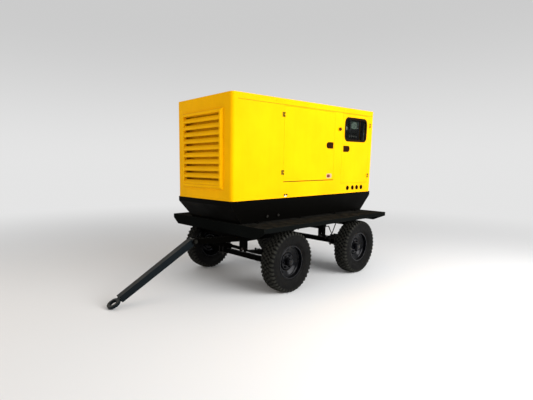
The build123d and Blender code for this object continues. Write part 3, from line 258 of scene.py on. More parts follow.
# ---- finishes, in linear colour: the record's slots, then those of single pieces
YELLOW = (0.92, 0.46, 0.0012)
BLACK = (0.0016, 0.0015, 0.0012)
RECIPES = {
    "canopy_yellow": (painted, YELLOW, 0.42, (1.0, 0.62, 0.03), 0.03, 0.35, 0.03),
    "chassis_black": (painted, BLACK, 0.50, (0.020, 0.020, 0.018), 0.03, 0.6, 0.03),
    "drawbar_grey": (painted, (0.006, 0.009, 0.011), 0.38, (0.06, 0.06, 0.06), 0.25, 0.9, 0.35),
    "wheel_black": (painted, (0.0016, 0.0018, 0.0026), 0.24, (0.04, 0.04, 0.05), 0.04, 0.6, 0.35, 9.0, 0.15),
    "tyre_rubber": (rubber, (0.0030, 0.0029, 0.0028), 0.60, 0.06),
    "spring_steel": (metal, (0.03, 0.029, 0.028), 0.55, (1, 0.1, 1), 120, (0.05, 0.03, 0.02), 0.4),
    "zinc_steel": (metal, (0.42, 0.41, 0.38), 0.40, (1, 1, 1), 160),
    "latch_black": (plastic, (0.020, 0.0060, 0.0008), 0.6, 0.25, 0.0, 0.02),
    "seal_rubber": (rubber, (0.008, 0.0035, 0.001), 0.75, 0.03, 0.2),
    "window_clear": (glass,),
    "engine_cast": (casting, (0.055, 0.10, 0.075)),
    "alternator_paint": (casting, (0.03, 0.06, 0.14), 0.42),
    "radiator_black": (metal, (0.03, 0.03, 0.03), 0.55, (1, 1, 9), 60),
    "exhaust_metal": (metal, (0.35, 0.33, 0.30), 0.45, (1, 1, 1), 40, (0.16, 0.07, 0.03), 0.7),
    "rotor_steel": (metal, (0.42, 0.42, 0.43), 0.28, (1, 8, 1), 90),
    "plastic_black": (plastic, (0.016, 0.016, 0.017), 0.5),
    "panel_grey": (painted, (0.016, 0.017, 0.017), 0.45, (0.2, 0.2, 0.2), 0.1, 0.4, 0.2, 8.0),
    "stop_red": (plastic, (0.07, 0.012, 0.002), 0.5, 0.05, 0.0, 0.05),
    "lever_black": (plastic, (0.012, 0.012, 0.012), 0.3, 0.05, 0.3),
    "tread_rubber": (rubber, (0.0125, 0.0125, 0.0105), 0.70, 0.35),
    "deck_plate": (painted, (0.0044, 0.0050, 0.0048), 0.85, (0.03, 0.03, 0.028), 0.10, 0.8, 0.0),
    "dull_zinc": (metal, (0.022, 0.021, 0.018), 0.6, (1, 1, 1), 160),
    # painted shade: the door hinges take canopy yellow darkened to a dark brown, for the shade in their knuckles
    # and gaps
    "hinge_olive": (painted, (0.16, 0.10, 0.008), 0.5, (0.3, 0.2, 0.02), 0.1, 0.5),
    "acoustic_foam": (foam,),
    "display": (screen,),
    "pale_plate": (painted, (0.52, 0.33, 0.19), 0.4, (0.8, 0.6, 0.5), 0.05, 0.3, 0.1, 20.0),
    "red_plastic": (plastic, (0.13, 0.018, 0.008), 0.35, 0.05),
    # painted shade: canopy yellow darkened to a quarter, for the shade line in the roof seam
    "seam_sealant": (rubber, (0.24, 0.115, 0.003), 0.7, 0.05, 0.2),
    "green_plastic": (plastic, (0.02, 0.22, 0.05), 0.35, 0.05, 0.4),
    "white_plastic": (plastic, (0.65, 0.65, 0.62), 0.4, 0.1),
}
FINISHES = {name: make(name, *values) for name, (make, *values) in RECIPES.items()}
OWN_FINISH = {
    "deck": "deck_plate", "door_hinges": "hinge_olive",
    "drain_plugs": "dull_zinc", "drawbar_pin": "dull_zinc",
}


# ---- mesh helpers
def facing(at, direction):
    """Frame at a point whose Z axis looks along a direction."""
    return Matrix.Translation(at) @ Vector(direction).to_track_quat("Z", "Y").to_matrix().to_4x4()


def polar(radius, angle, along=0.0):
    """Point at a radius and angle about Z."""
    return Vector((radius * math.cos(angle), radius * math.sin(angle), along))


def rounded(points, radius, closed=False, steps=4):
    """The outline with its corners turned into short curves."""
    count = len(points)
    outline = []
    for index, point in enumerate(points):
        here = Vector(point)
        if not closed and index in (0, count - 1):
            outline.append(tuple(here))
            continue
        before = Vector(points[index - 1]) - here
        after = Vector(points[(index + 1) % count]) - here
        start = here + before.normalized() * min(radius, before.length * 0.45)
        end = here + after.normalized() * min(radius, after.length * 0.45)
        for step in range(steps + 1):
            share = step / steps
            bend = start * (1 - share) ** 2 + here * 2 * share * (1 - share) + end * share**2
            outline.append(tuple(bend))
    return outline


def strip(bm, near, far, wrap=True):
    """Quads between two rows of vertices; a row of one vertex makes a fan."""
    count = max(len(near), len(far))
    for step in range(count if wrap else count - 1):
        after = (step + 1) % count
        corners = [near[step % len(near)], near[after % len(near)]]
        corners += [far[after % len(far)], far[step % len(far)]]
        corners = list(dict.fromkeys(corners))
        if len(corners) > 2:
            bm.faces.new(corners)


def lathe(bm, profile, place, steps=48, closed=False):
    """Turn (along, radius) points about the Z axis of a frame."""
    rings = []
    for along, radius in profile:
        turns = range(steps) if radius > 1e-6 else range(1)
        ring = []
        for step in turns:
            ring.append(bm.verts.new(place @ polar(radius, TAU * (step + 0.5) / steps, along)))
        rings.append(ring)
    for near, far in zip(rings, rings[1:]):
        strip(bm, near, far)
    if closed:
        strip(bm, rings[-1], rings[0])


def band(bm, place, along, inner, outer, steps):
    """Flat ring round an axis, between two places along it."""
    low, high = along
    lathe(bm, [(low, inner), (low, outer), (high, outer), (high, inner)], place, steps, True)


def turned(bm, place, profile, soften, steps):
    """Lathe work with its corners softened."""
    lathe(bm, rounded(profile, soften), place, steps)


def box(bm, low, high, edge=0.0, place=Matrix()):
    """Block between two corners with softened edges."""
    low, high = Vector(low), Vector(high)
    shape = Matrix.Translation((low + high) / 2) @ Matrix.Diagonal((*(high - low), 1))
    made = bmesh.ops.create_cube(bm, size=1, matrix=place @ shape)["verts"]
    if edge:
        edges = list(dict.fromkeys(edge for vert in made for edge in vert.link_edges))
        bmesh.ops.bevel(bm, geom=edges, offset=edge, segments=2, profile=0.5, affect="EDGES")


def prism(bm, outline, place, depth, edge=0.0):
    """Outline in a frame's XY plane, pushed along its Z axis."""
    low = [bm.verts.new(place @ Vector((x, y, 0))) for x, y in outline]
    high = [bm.verts.new(place @ Vector((x, y, depth))) for x, y in outline]
    bm.faces.new(low)
    top = bm.faces.new(high)
    strip(bm, low, high)
    if edge:
        bmesh.ops.bevel(bm, geom=list(top.edges), offset=edge, segments=2, profile=0.5, affect="EDGES")


def curve(points, steps=6):
    """Smooth path through a few points."""
    points = [Vector(point) for point in points]
    ends = [points[0] * 2 - points[1], *points, points[-1] * 2 - points[-2]]
    path = []
    for index in range(1, len(ends) - 2):
        a, b, c, d = ends[index - 1 : index + 3]
        for step in range(steps):
            t = step / steps
            square, cube = 2 * a - 5 * b + 4 * c - d, 3 * b - a - 3 * c + d
            path.append(0.5 * (2 * b + (c - a) * t + square * t**2 + cube * t**3))
    return path + [points[-1]]


def tube(bm, path, radius, sides=12, ripple=0.0):
    """Round bar along a path; a ripple makes it a weld bead or a ribbed hose."""
    path = [Vector(point) for point in path]
    rings = []
    side = None
    for index, point in enumerate(path):
        ahead = (path[min(index + 1, len(path) - 1)] - path[max(index - 1, 0)]).normalized()
        if side is None:
            side = ahead.orthogonal().normalized()
        side = (side - ahead * side.dot(ahead)).normalized()
        up = ahead.cross(side)
        size = radius * (1 + ripple * (index % 2))
        ring = []
        for step in range(sides):
            turn = TAU * step / sides
            ring.append(bm.verts.new(point + (side * math.cos(turn) + up * math.sin(turn)) * size))
        rings.append(ring)
    for near, far in zip(rings, rings[1:]):
        strip(bm, near, far)
    bm.faces.new(rings[0])
    bm.faces.new(rings[-1])


def bead(bm, start, end, radius=0.004):
    """Rippled weld seam between two points."""
    start, end = Vector(start), Vector(end)
    count = max(4, int((end - start).length / (radius * 1.5)))
    tube(bm, [start.lerp(end, step / count) for step in range(count + 1)], radius, 6, 0.22)


def bolt(bm, at, direction, across=0.016):
    """Washer, chamfered hexagon head and the end of the thread."""
    place = facing(at, direction)
    half = across / math.sqrt(3)
    washer = [(-0.001, 0), (-0.001, across * 0.95), (across * 0.14, across * 0.92), (across * 0.14, 0)]
    lathe(bm, washer, place, 20)
    head = [(across * 0.1, 0), (across * 0.1, half), (across * 0.65, half), (across * 0.75, half * 0.85)]
    lathe(bm, [*head, (across * 0.75, 0)], place, 6)


def screw(bm, at, direction, radius=0.006):
    """Low domed screw head with a hexagon socket rim."""
    place = facing(at, direction)
    dome = [(-0.001, 0), (-0.001, radius), (radius * 0.25, radius), (radius * 0.5, radius * 0.75)]
    socket = [(radius * 0.55, radius * 0.45), (radius * 0.25, radius * 0.4), (radius * 0.25, 0)]
    lathe(bm, dome + socket, place, 18)


def nipple(bm, at, direction, sunk=0.003):
    """Grease nipple: hexagon foot, waist and ball head."""
    foot = [(-sunk, 0), (-sunk, 0.006), (0.004, 0.006)]
    lathe(bm, [*foot, (0.006, 0.003), (0.014, 0.0035), (0.014, 0)], facing(at, direction), 6)


def link(shape):
    bpy.context.scene.collection.objects.link(shape)


def piece(name, bm, finish, body="chassis", angle=32):
    """Finish a mesh, shade it smooth up to an angle and let it ride on a body."""
    bmesh.ops.recalc_face_normals(bm, faces=bm.faces)
    mesh = bpy.data.meshes.new(name)
    bm.to_mesh(mesh)
    bm.free()
    mesh.shade_smooth()
    mesh.set_sharp_from_angle(angle=math.radians(angle))
    mesh.materials.append(FINISHES[finish])
    shape = bpy.data.objects.new(name, mesh)
    link(shape)
    if body:
        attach(shape, body)
    return shape


# ---- CAD nodes: finish and softened edges
def dress(node, edge, material):
    """Give a CAD node its procedural finish; with an edge, weld it and round its sharp edges."""
    shape = NODES[node]
    for slot in shape.material_slots:
        slot.material = material
    if edge:
        shape.modifiers.new("weld", "WELD").merge_threshold = 0.00001
        flat = shape.modifiers.new("flat", "DECIMATE")
        flat.decimate_type = "DISSOLVE"
        flat.angle_limit = math.radians(0.5)
        soft = shape.modifiers.new("edges", "BEVEL")
        soft.width = edge
        soft.segments = 2
        soft.limit_method = "ANGLE"
        soft.angle_limit = math.radians(38)
        shape.modifiers.new("shading", "WEIGHTED_NORMAL")


# ---- running gear
TYRE_RADIUS = pivot("front_left_wheel_spin").z
LUGS = 42
LUG_SKEW = 0.55
STUDS = 6
STUD_CIRCLE = 0.078


def mirrored(points):
    """The same points on the other side of the wheel's middle plane, in reverse."""
    return [(-x, radius) for x, radius in reversed(points)]


def carcass(place):
    """Tyre casing with ribs round its sidewalls."""
    side = [
        (0.045, 0.3780), (0.080, 0.3720), (0.0945, 0.358), (0.0995, 0.3425), (0.1015, 0.3415),
        (0.1015, 0.3385), (0.1005, 0.3375), (0.1028, 0.315), (0.1030, 0.300), (0.1005, 0.270),
        (0.0960, 0.2525), (0.0970, 0.2510), (0.0955, 0.2475), (0.0930, 0.2470), (0.0850, 0.233),
        (0.0790, 0.2215), (0.0700, 0.2170), (0.0695, 0.2036),
    ]
    section = [(0.0, 0.3790), *side, *mirrored(side)]
    bm = bmesh.new()
    lathe(bm, rounded(section, 0.003, True, 2), place, 120, True)
    return bm


def tread(place):
    """Five staggered rows of lugs, skewed to a shallow V, the outer rows reaching down the shoulders."""
    bm = bmesh.new()

    def crown(x):
        return TYRE_RADIUS - 0.8 * x * x

    rows = []
    for low, high, shift in ((-0.0145, 0.0145, 0.0), (0.0215, 0.0475, 0.5), (-0.0475, -0.0215, 0.5)):
        middle = (low + high) / 2
        tops = [(low, crown(low)), (middle, crown(middle)), (high, crown(high))]
        rows.append((tops, [(low - 0.002, 0.377), (high + 0.002, 0.377)], shift))
    for hand in (-1, 1):
        tops = [(0.0550, 0.3888), (0.080, 0.3855), (0.0915, 0.3785), (0.0975, 0.3640), (0.1012, 0.3480)]
        bases = [(0.0530, 0.3750), (0.077, 0.3700), (0.089, 0.3580), (0.0970, 0.3440)]
        rows.append(([(hand * x, r) for x, r in tops], [(hand * x, r) for x, r in bases], 0.0))
    turn = TAU / LUGS

    def point(x, radius, angle):
        angle += LUG_SKEW * abs(x)
        return bm.verts.new(place @ polar(radius, angle, x))

    for number in range(LUGS):
        for tops, bases, shift in rows:
            start = (number + shift) * turn
            near = [point(x, r, start + 0.06 * turn) for x, r in tops]
            near += [point(x, r, start) for x, r in reversed(bases)]
            far = [point(x, r, start + 0.54 * turn) for x, r in tops]
            far += [point(x, r, start + 0.60 * turn) for x, r in reversed(bases)]
            strip(bm, near, far)
            bm.faces.new(near)
            bm.faces.new(far)
    return bm


def rim(place):
    """Well-base rim with a dished disc, hub, domed cap, studs with nuts and a valve."""
    bm = bmesh.new()
    lip = 0.077
    section = [
        (-lip, 0.2155), (-0.0705, 0.2155), (-0.0695, 0.2034), (-0.040, 0.2028), (-0.032, 0.188),
        (0.018, 0.188), (0.026, 0.2028), (0.0695, 0.2034), (0.0705, 0.2155), (lip, 0.2155),
        (lip, 0.1985), (0.031, 0.197), (0.021, 0.182), (-0.035, 0.182), (-0.044, 0.197), (-lip, 0.1985),
    ]
    lathe(bm, rounded(section, 0.004, True, 3), place, 96, True)
    disc = [
        (0.012, 0.186), (0.019, 0.183), (0.012, 0.166), (-0.008, 0.130), (-0.006, 0.114), (0.012, 0.104),
        (0.012, 0.052), (0.004, 0.052), (0.004, 0.099), (-0.014, 0.110), (-0.017, 0.130), (0.004, 0.168),
    ]
    lathe(bm, rounded(disc, 0.007, True, 4), place, 96, True)
    hub = [
        (-0.072, 0.0305), (-0.072, 0.062), (-0.008, 0.062), (-0.008, 0.096), (0.004, 0.096), (0.004, 0.0515),
        (0.054, 0.0480), (0.054, 0.0455), (0.057, 0.0455), (0.066, 0.0445), (0.074, 0.0370), (0.0765, 0.020),
        (0.0765, 0.008), (0.078, 0.0075), (0.078, 0), (0.046, 0), (0.046, 0.0305),
    ]
    lathe(bm, rounded(hub, 0.0025, True, 3), place, 64, True)
    for number in range(STUDS):
        seat = place @ Matrix.Translation(polar(STUD_CIRCLE, TAU * number / STUDS))
        lathe(bm, [(0.011, 0), (0.011, 0.0185), (0.0145, 0.0180), (0.0145, 0)], seat, 24)
        nut = [(0.014, 0), (0.014, 0.0155), (0.0275, 0.0155), (0.0300, 0.0130), (0.0300, 0)]
        lathe(bm, nut, seat, 6)
        lathe(bm, [(0.029, 0), (0.029, 0.0068), (0.035, 0.0068), (0.0365, 0.0052), (0.0365, 0)], seat, 16)
    valve = [place @ Vector(spot) for spot in ((0.185, 0, 0.016), (0.183, 0, 0.035), (0.187, 0, 0.052))]
    tube(bm, curve(valve, 4), 0.0042, 10)
    return bm


def wheels():
    for corner in CORNERS:
        centre = pivot(f"{corner}_wheel_spin")
        outward = (1 if centre.x > 0 else -1, 0, 0)
        place = facing(centre, outward)
        body = f"{corner}_wheel"
        casing = piece(f"{corner}_tyre_casing", carcass(place), "tyre_rubber", body, 40)
        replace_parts(casing, f"{corner}_tyre")
        piece(f"{corner}_tyre_tread", tread(place), "tread_rubber", body, 30)
        wheel = piece(f"{corner}_rim_and_hub", rim(place), "wheel_black", body, 30)
        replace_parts(wheel, body)


LEAF = 0.009
LEAF_STEP = 0.0092
LEAF_HALF_WIDTH = 0.030
EYE_RADIUS = 0.0174
EYE_INSET = 0.022
SPRING_X = 0.450
LEAVES = {"front": 8, "rear": 5}


def leaf_half(bm, side_x, axle_y, eye, main_z, number, count):
    """Half of one leaf, from the axle towards an eye; the main leaf curls round the eye."""
    reach = abs(eye.y - axle_y)
    toward = 1 if eye.y > axle_y else -1
    rise = eye.z - 0.018 - main_z
    radius = (reach**2 + rise**2) / (2 * rise)
    own = radius + LEAF_STEP * number
    sweep = math.asin(reach * (1 - 0.74 * number / (count - 1)) / own)
    path = []
    for step in range(15):
        angle = sweep * step / 14
        spot = Vector((own * math.sin(angle), main_z + radius - own * math.cos(angle)))
        path.append((spot, LEAF_HALF_WIDTH if number == 0 or step < 13 else 0.024))
    if number == 0:
        for step in range(17):
            angle = math.radians(-70 + 262 * step / 16)
            curl = EYE_RADIUS * Vector((math.cos(angle), math.sin(angle)))
            path.append((Vector((reach, eye.z)) + curl, LEAF_HALF_WIDTH))
    rings = []
    section = ((-1, -0.6), (-0.94, -1), (0.94, -1), (1, -0.6), (1, 0.6), (0.94, 1), (-0.94, 1), (-1, 0.6))
    for index, (here, width) in enumerate(path):
        ahead = (path[min(index + 1, len(path) - 1)][0] - path[max(index - 1, 0)][0]).normalized()
        up = Vector((-ahead.y, ahead.x)) * LEAF / 2
        ring = []
        for sideways, lift in section:
            spot = here + up * lift
            ring.append(bm.verts.new((side_x + sideways * width, axle_y + toward * spot.x, spot.y)))
        rings.append(ring)
    for near, far in zip(rings, rings[1:]):
        strip(bm, near, far)
    bm.faces.new(rings[0])
    bm.faces.new(rings[-1])


def rebound_clip(bm, side_x, y, z, count):
    """Strap round the leaves with its bolt above the main leaf."""
    foot = z - LEAF_STEP * min(count, 5) + 0.004
    for x in (side_x - 0.0335, side_x + 0.0335):
        box(bm, (x - 0.0025, y - 0.014, foot), (x + 0.0025, y + 0.014, z + 0.022), 0.001)
    bolt_z = z + 0.014
    bolt(bm, (side_x + 0.036, y, bolt_z), X_AXIS, 0.012)
    tube(bm, [(side_x - 0.040, y, bolt_z), (side_x + 0.040, y, bolt_z)], 0.004, 10)


def springs():
    """Leaf springs as two halves, fore and aft of the axle, each reaching from the axle to its eye."""
    for end, fixed in (("front", "bogie"), ("rear", "chassis")):
        node = f"{end}_leaf_springs"
        count = LEAVES[end]
        low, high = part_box(node)
        axle_y = pivot(f"{end}_left_wheel_spin").y
        eye_z = high.z - EYE_INSET
        main_z = low.z + LEAF_STEP * count - LEAF / 2
        halves = []
        for label, eye_y in (("fore", low.y + EYE_INSET), ("aft", high.y - EYE_INSET)):
            bm = bmesh.new()
            toward = 1 if eye_y > axle_y else -1
            for side_x in (-SPRING_X, SPRING_X):
                for number in range(count):
                    leaf_half(bm, side_x, axle_y, Vector((0, eye_y, eye_z)), main_z, number, count)
                rebound_clip(bm, side_x, axle_y + toward * 0.175, main_z + 0.010, count)
            half = piece(f"{end}_springs_{label}", bm, "spring_steel", None)
            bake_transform(half)
            halves.append(half)
        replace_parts(halves[0], node)


# ---- louvres
BLADES = 10
SHEET = 0.0015
FRAME_WIDTH = 0.0455
BAFFLE_DEPTH = 0.095


def louvre(node, wall_y, outward):
    """Mitred, bevelled frame with ten creased blades that shed rain over dark slots."""
    low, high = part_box(node)
    proud = high.y - low.y
    bm = bmesh.new()
    section = [
        (0.0, 0.0005), (0.002, proud * 0.45), (0.017, proud * 0.96), (0.0195, proud), (0.043, proud),
        (FRAME_WIDTH, proud * 0.95), (FRAME_WIDTH, 0.0005),
    ]
    rings = []
    for inset, out in section:
        corners = ((low.x, low.z), (high.x, low.z), (high.x, high.z), (low.x, high.z))
        ring = []
        for x, z in corners:
            x -= math.copysign(inset, x)
            z += inset if z == low.z else -inset
            ring.append(bm.verts.new((x, wall_y + outward * out, z)))
        rings.append(ring)
    for near, far in zip(rings, [*rings[1:], rings[0]]):
        strip(bm, near, far)
    pitch = (high.z - low.z - 0.090) / BLADES
    top = high.z - FRAME_WIDTH
    half = high.x - 0.044
    for number in range(BLADES):
        foot = top - pitch * (number + 1) + 0.001
        face = [(0.029, 0.0), (0.0365, 0.003), (0.0375, 0.026), (0.013, 0.0570), (0.006, 0.0595)]
        back = [(out - SHEET, z - SHEET * 0.1) for out, z in face]
        outline = face + back[::-1]
        ends = []
        for x in (-half, half):
            ends.append([bm.verts.new((x, wall_y + outward * out, foot + z)) for out, z in outline])
        strip(bm, ends[0], ends[1])
        bm.faces.new(ends[0])
        bm.faces.new(ends[1])
        depths = (BAFFLE_DEPTH, BAFFLE_DEPTH - SHEET)
        inner_y, outer_y = sorted(wall_y - outward * depth for depth in depths)
        box(bm, (-half - 0.120, inner_y, foot + 0.044), (half + 0.120, outer_y, foot + 0.112))
    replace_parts(piece(f"{node}_blades", bm, "canopy_yellow", angle=20), node)
    bm = bmesh.new()
    for z in (low.z + 0.06, (low.z + high.z) / 2, high.z - 0.06):
        for x in (low.x + 0.031, high.x - 0.031):
            screw(bm, (x, wall_y + outward * proud, z), (0, outward, 0), 0.0055)
    piece(f"{node}_screws", bm, "canopy_yellow")


# ---- canopy
FOOT_CORNER = 0.0535
LANDING_DEPTH = 0.0308
FOAM_INSET = 0.028
FOAM_DEPTH = 0.019


def loop(bm, outlines):
    """Closed frame through several outlines with the same number of points."""
    rings = [[bm.verts.new(point) for point in outline] for outline in outlines]
    for near, far in zip(rings, [*rings[1:], rings[0]]):
        strip(bm, near, far)


def plan_outline(proud, z, corner):
    """The canopy's plan with rounded corners, a little outside its walls."""
    x = SIDE_X + proud
    low, high = FRONT_Y - proud, REAR_Y + proud
    corners = [(-x, low), (x, low), (x, high), (-x, high)]
    return [(px, py, z) for px, py in rounded(corners, corner, True, 6)]


def canopy_trim():
    """Folded strip along the canopy's foot, and the roof panel's screws."""
    bm = bmesh.new()
    strips = ((0.0, 0.0), (0.0025, 0.0), (0.0030, 0.012), (0.0005, 0.014))
    loop(bm, [plan_outline(proud, BASE_Z + rise, FOOT_CORNER) for proud, rise in strips])
    piece("canopy_foot_strip", bm, "canopy_yellow", angle=60)
    roof_low, roof_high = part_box("roof_panel")
    bm = bmesh.new()
    count = 9
    for number in range(count):
        y = roof_low.y + 0.07 + (roof_high.y - roof_low.y - 0.14) * number / (count - 1)
        for side in (-1, 1):
            screw(bm, (side * SIDE_X, y, roof_low.z + 0.034), (side, 0, 0), 0.0065)
    piece("roof_panel_screws", bm, "canopy_yellow")


def seam_strips():
    """Painted shade in two seams: a strip of canopy yellow darkened to a quarter under the roof panel's edge, and
    a dark rubber strip below the engine doors that stands for their shadow.
    """
    roof_low, roof_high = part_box("roof_panel")
    # painted shade: a thin strip of darkened canopy yellow along the roof panel's lower edge stands for the shade
    # line under it
    bm = bmesh.new()
    for side in (-1, 1):
        inner, outer = sorted((side * (SIDE_X - 0.002), side * (SIDE_X + 0.0006)))
        low = (inner, FRONT_Y + 0.09, roof_low.z - 0.0045)
        box(bm, low, (outer, roof_high.y, roof_low.z + 0.0010), 0.0004)
    piece("roof_seam_painted_shade", bm, "seam_sealant")
    # painted shadow: a dark rubber strip along the engine doors' bottom seam stands for the shadow under the
    # doors' proud lower edge
    bm = bmesh.new()
    low_z = BASE_Z + 0.213
    for side in (-1, 1):
        inner, outer = sorted((side * (SIDE_X - 0.003), side * (SIDE_X + 0.0010)))
        box(bm, (inner, FRONT_Y + 0.889, low_z - 0.0075), (outer, FRONT_Y + 1.971, low_z + 0.0015), 0.0006)
    piece("engine_door_painted_shadow", bm, "seal_rubber")


def door_edges(node, joint):
    """Low and high corner of a door's sheet, (y, z), without its hinge knuckles."""
    low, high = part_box(node)
    hinge = pivot(joint).y
    if abs(low.y - hinge) < abs(high.y - hinge):
        return (hinge + 0.003, low.z), (high.y, high.z)
    return (low.y, low.z), (hinge - 0.003, high.z)


def frame_outline(edges, inset, x, corner=0.010):
    """Rounded rectangle across X, set in from (y, z) edges."""
    (y0, z0), (y1, z1) = edges
    y0, z0, y1, z1 = y0 + inset, z0 + inset, y1 - inset, z1 - inset
    corners = [(y0, z0), (y1, z0), (y1, z1), (y0, z1)]
    return [(x, y, z) for y, z in rounded(corners, corner, True, 3)]


def door_seal(name, edges, side):
    """Rubber profile on the landing that the door closes against."""
    face = side * (SIDE_X - LANDING_DEPTH)
    bm = bmesh.new()
    section = ((0.001, 0.0), (0.002, 0.0022), (0.007, 0.0026), (0.012, 0.0022), (0.013, 0.0))
    loop(bm, [frame_outline(edges, inset, face + side * out) for inset, out in section])
    piece(name, bm, "seal_rubber", angle=50)


def pillow(bm, low, high, face_x, side):
    """One quilted pad of acoustic foam against a sheet, crowned towards the inside."""
    steps = 6
    rows = []
    for i in range(steps + 1):
        row = []
        for j in range(steps + 1):
            u, v = i / steps, j / steps
            crown = (1 - (2 * u - 1) ** 6) * (1 - (2 * v - 1) ** 6)
            x = face_x - side * (0.35 + 0.65 * crown) * FOAM_DEPTH
            y, z = low[0] + (high[0] - low[0]) * u, low[1] + (high[1] - low[1]) * v
            row.append(bm.verts.new((x, y, z)))
        rows.append(row)
    for near, far in zip(rows, rows[1:]):
        strip(bm, near, far, False)
    border = [row[0] for row in rows] + rows[-1][1:]
    border += [row[-1] for row in reversed(rows[:-1])] + rows[0][-2:0:-1]
    back = [bm.verts.new((face_x, vert.co.y, vert.co.z)) for vert in border]
    strip(bm, border, back)
    bm.faces.new(back)


def lining(name, body, low, high, face_x, side, tiles, keep_clear):
    """Grid of foam pads over a rectangle, leaving out those over a latch or a window."""
    bm = bmesh.new()
    columns, rows = tiles
    for column in range(columns):
        for row in range(rows):
            y0 = low[0] + (high[0] - low[0]) * column / columns
            y1 = low[0] + (high[0] - low[0]) * (column + 1) / columns
            z0 = low[1] + (high[1] - low[1]) * row / rows
            z1 = low[1] + (high[1] - low[1]) * (row + 1) / rows
            if not any(y0 < b[0] and y1 > a[0] and z0 < b[1] and z1 > a[1] for a, b in keep_clear):
                pillow(bm, (y0 + 0.001, z0 + 0.001), (y1 - 0.001, z1 - 0.001), face_x, side)
    piece(name, bm, "acoustic_foam", body, 50)


def doors():
    """A seal round each door's opening and foam on its inner face."""
    for label, side in (("left_engine", 1), ("right_engine", -1), ("left_control", 1)):
        body = f"{label}_door"
        edges = door_edges(body, f"{label}_door_swing")
        door_seal(f"{label}_door_seal", edges, side)
        cup_low, cup_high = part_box(f"{label}_latch_cup")
        clear = [((cup_low.y, cup_low.z), (cup_high.y, cup_high.z))]
        (y0, z0), (y1, z1) = edges
        tiles = (10, 8)
        if label == "left_control":
            seal_low, seal_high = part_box("window_seal")
            clear.append(((seal_low.y, seal_low.z), (seal_high.y, seal_high.z)))
            tiles = (7, 9)
        low, high = (y0 + FOAM_INSET, z0 + FOAM_INSET), (y1 - FOAM_INSET, z1 - FOAM_INSET)
        lining(f"{label}_door_foam", body, low, high, side * (SIDE_X - 0.0035), side, tiles, clear)


def oval(bm, at, half_width, half_height, corner, depth, edge):
    """Rounded plate on the control side."""
    corners = [(-half_width, -half_height), (half_width, -half_height)]
    corners += [(half_width, half_height), (-half_width, half_height)]
    prism(bm, rounded(corners, corner, True, 6), facing(at, X_AXIS), depth, edge)


def blank_plates():
    """Pale oval plate with a dark-red boss, and the earthing point near the canopy's foot."""
    plate_y, plate_z = FRONT_Y + 1.872, BASE_Z + 0.269
    bm = bmesh.new()
    oval(bm, (SIDE_X, plate_y, plate_z), 0.062, 0.034, 0.030, 0.0018, 0.0006)
    piece("blank_plate", bm, "pale_plate", "left_engine_door")
    bm = bmesh.new()
    oval(bm, (SIDE_X + 0.0016, plate_y - 0.016, plate_z), 0.034, 0.020, 0.018, 0.0028, 0.0012)
    piece("blank_plate_boss", bm, "red_plastic", "left_engine_door")
    earth_y, earth_z = FRONT_Y + 0.939, BASE_Z + 0.028
    bm = bmesh.new()
    inner, outer = SIDE_X - 0.0005, SIDE_X + 0.003
    box(bm, (inner, earth_y - 0.022, earth_z - 0.014), (outer, earth_y + 0.022, earth_z), 0.001)
    piece("earthing_plate", bm, "white_plastic")
    bm = bmesh.new()
    for shift in (-0.022, 0.022):
        bolt(bm, (SIDE_X, earth_y + shift, earth_z + 0.010), X_AXIS, 0.015)
    piece("earthing_bolts", bm, "dull_zinc")


# ---- control panel behind the window
PANEL_LOW, PANEL_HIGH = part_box("control_panel")
PANEL_X = PANEL_LOW.x + 0.003


def controller():
    """Controller bezel with its keys, a display and three indicator lamps."""
    y0, y1 = FRONT_Y + 2.500, FRONT_Y + 2.740
    z0, z1 = BASE_Z + 0.925, BASE_Z + 1.110
    face = PANEL_X + 0.022
    bm = bmesh.new()
    section = ((-0.006, 0.0), (-0.006, 0.003), (0.000, 0.006), (0.014, 0.006), (0.018, 0.002), (0.018, 0.0))
    loop(bm, [frame_outline(((y0, z0), (y1, z1)), inset, face + out, 0.012) for inset, out in section])
    for number in range(6):
        key = facing((face, y0 + 0.034 + 0.0345 * number, z0 + 0.031), X_AXIS)
        turned(bm, key, [(0, 0), (0, 0.0105), (0.004, 0.0095), (0.004, 0)], 0.001, 20)
    piece("controller_bezel", bm, "lever_black")
    bm = bmesh.new()
    left, right, foot, head = y0 + 0.030, y1 - 0.060, z0 + 0.058, z1 - 0.026
    upright = Matrix(((0, 0, 1, face), (1, 0, 0, 0), (0, 1, 0, 0), (0, 0, 0, 1)))
    outline = [(left, foot), (right, foot), (right, head), (left, head)]
    prism(bm, rounded(outline, 0.006, True), upright, 0.002, 0.0006)
    piece("controller_display", bm, "display")
    for number, finish in enumerate(("green_plastic", "red_plastic", "white_plastic")):
        bm = bmesh.new()
        seat = facing((face, y1 - 0.036, z1 - 0.045 - 0.034 * number), X_AXIS)
        turned(bm, seat, [(0, 0), (0, 0.008), (0.003, 0.008), (0.006, 0.005), (0.007, 0)], 0.001, 20)
        piece(f"controller_lamp_{number + 1}", bm, finish, angle=40)


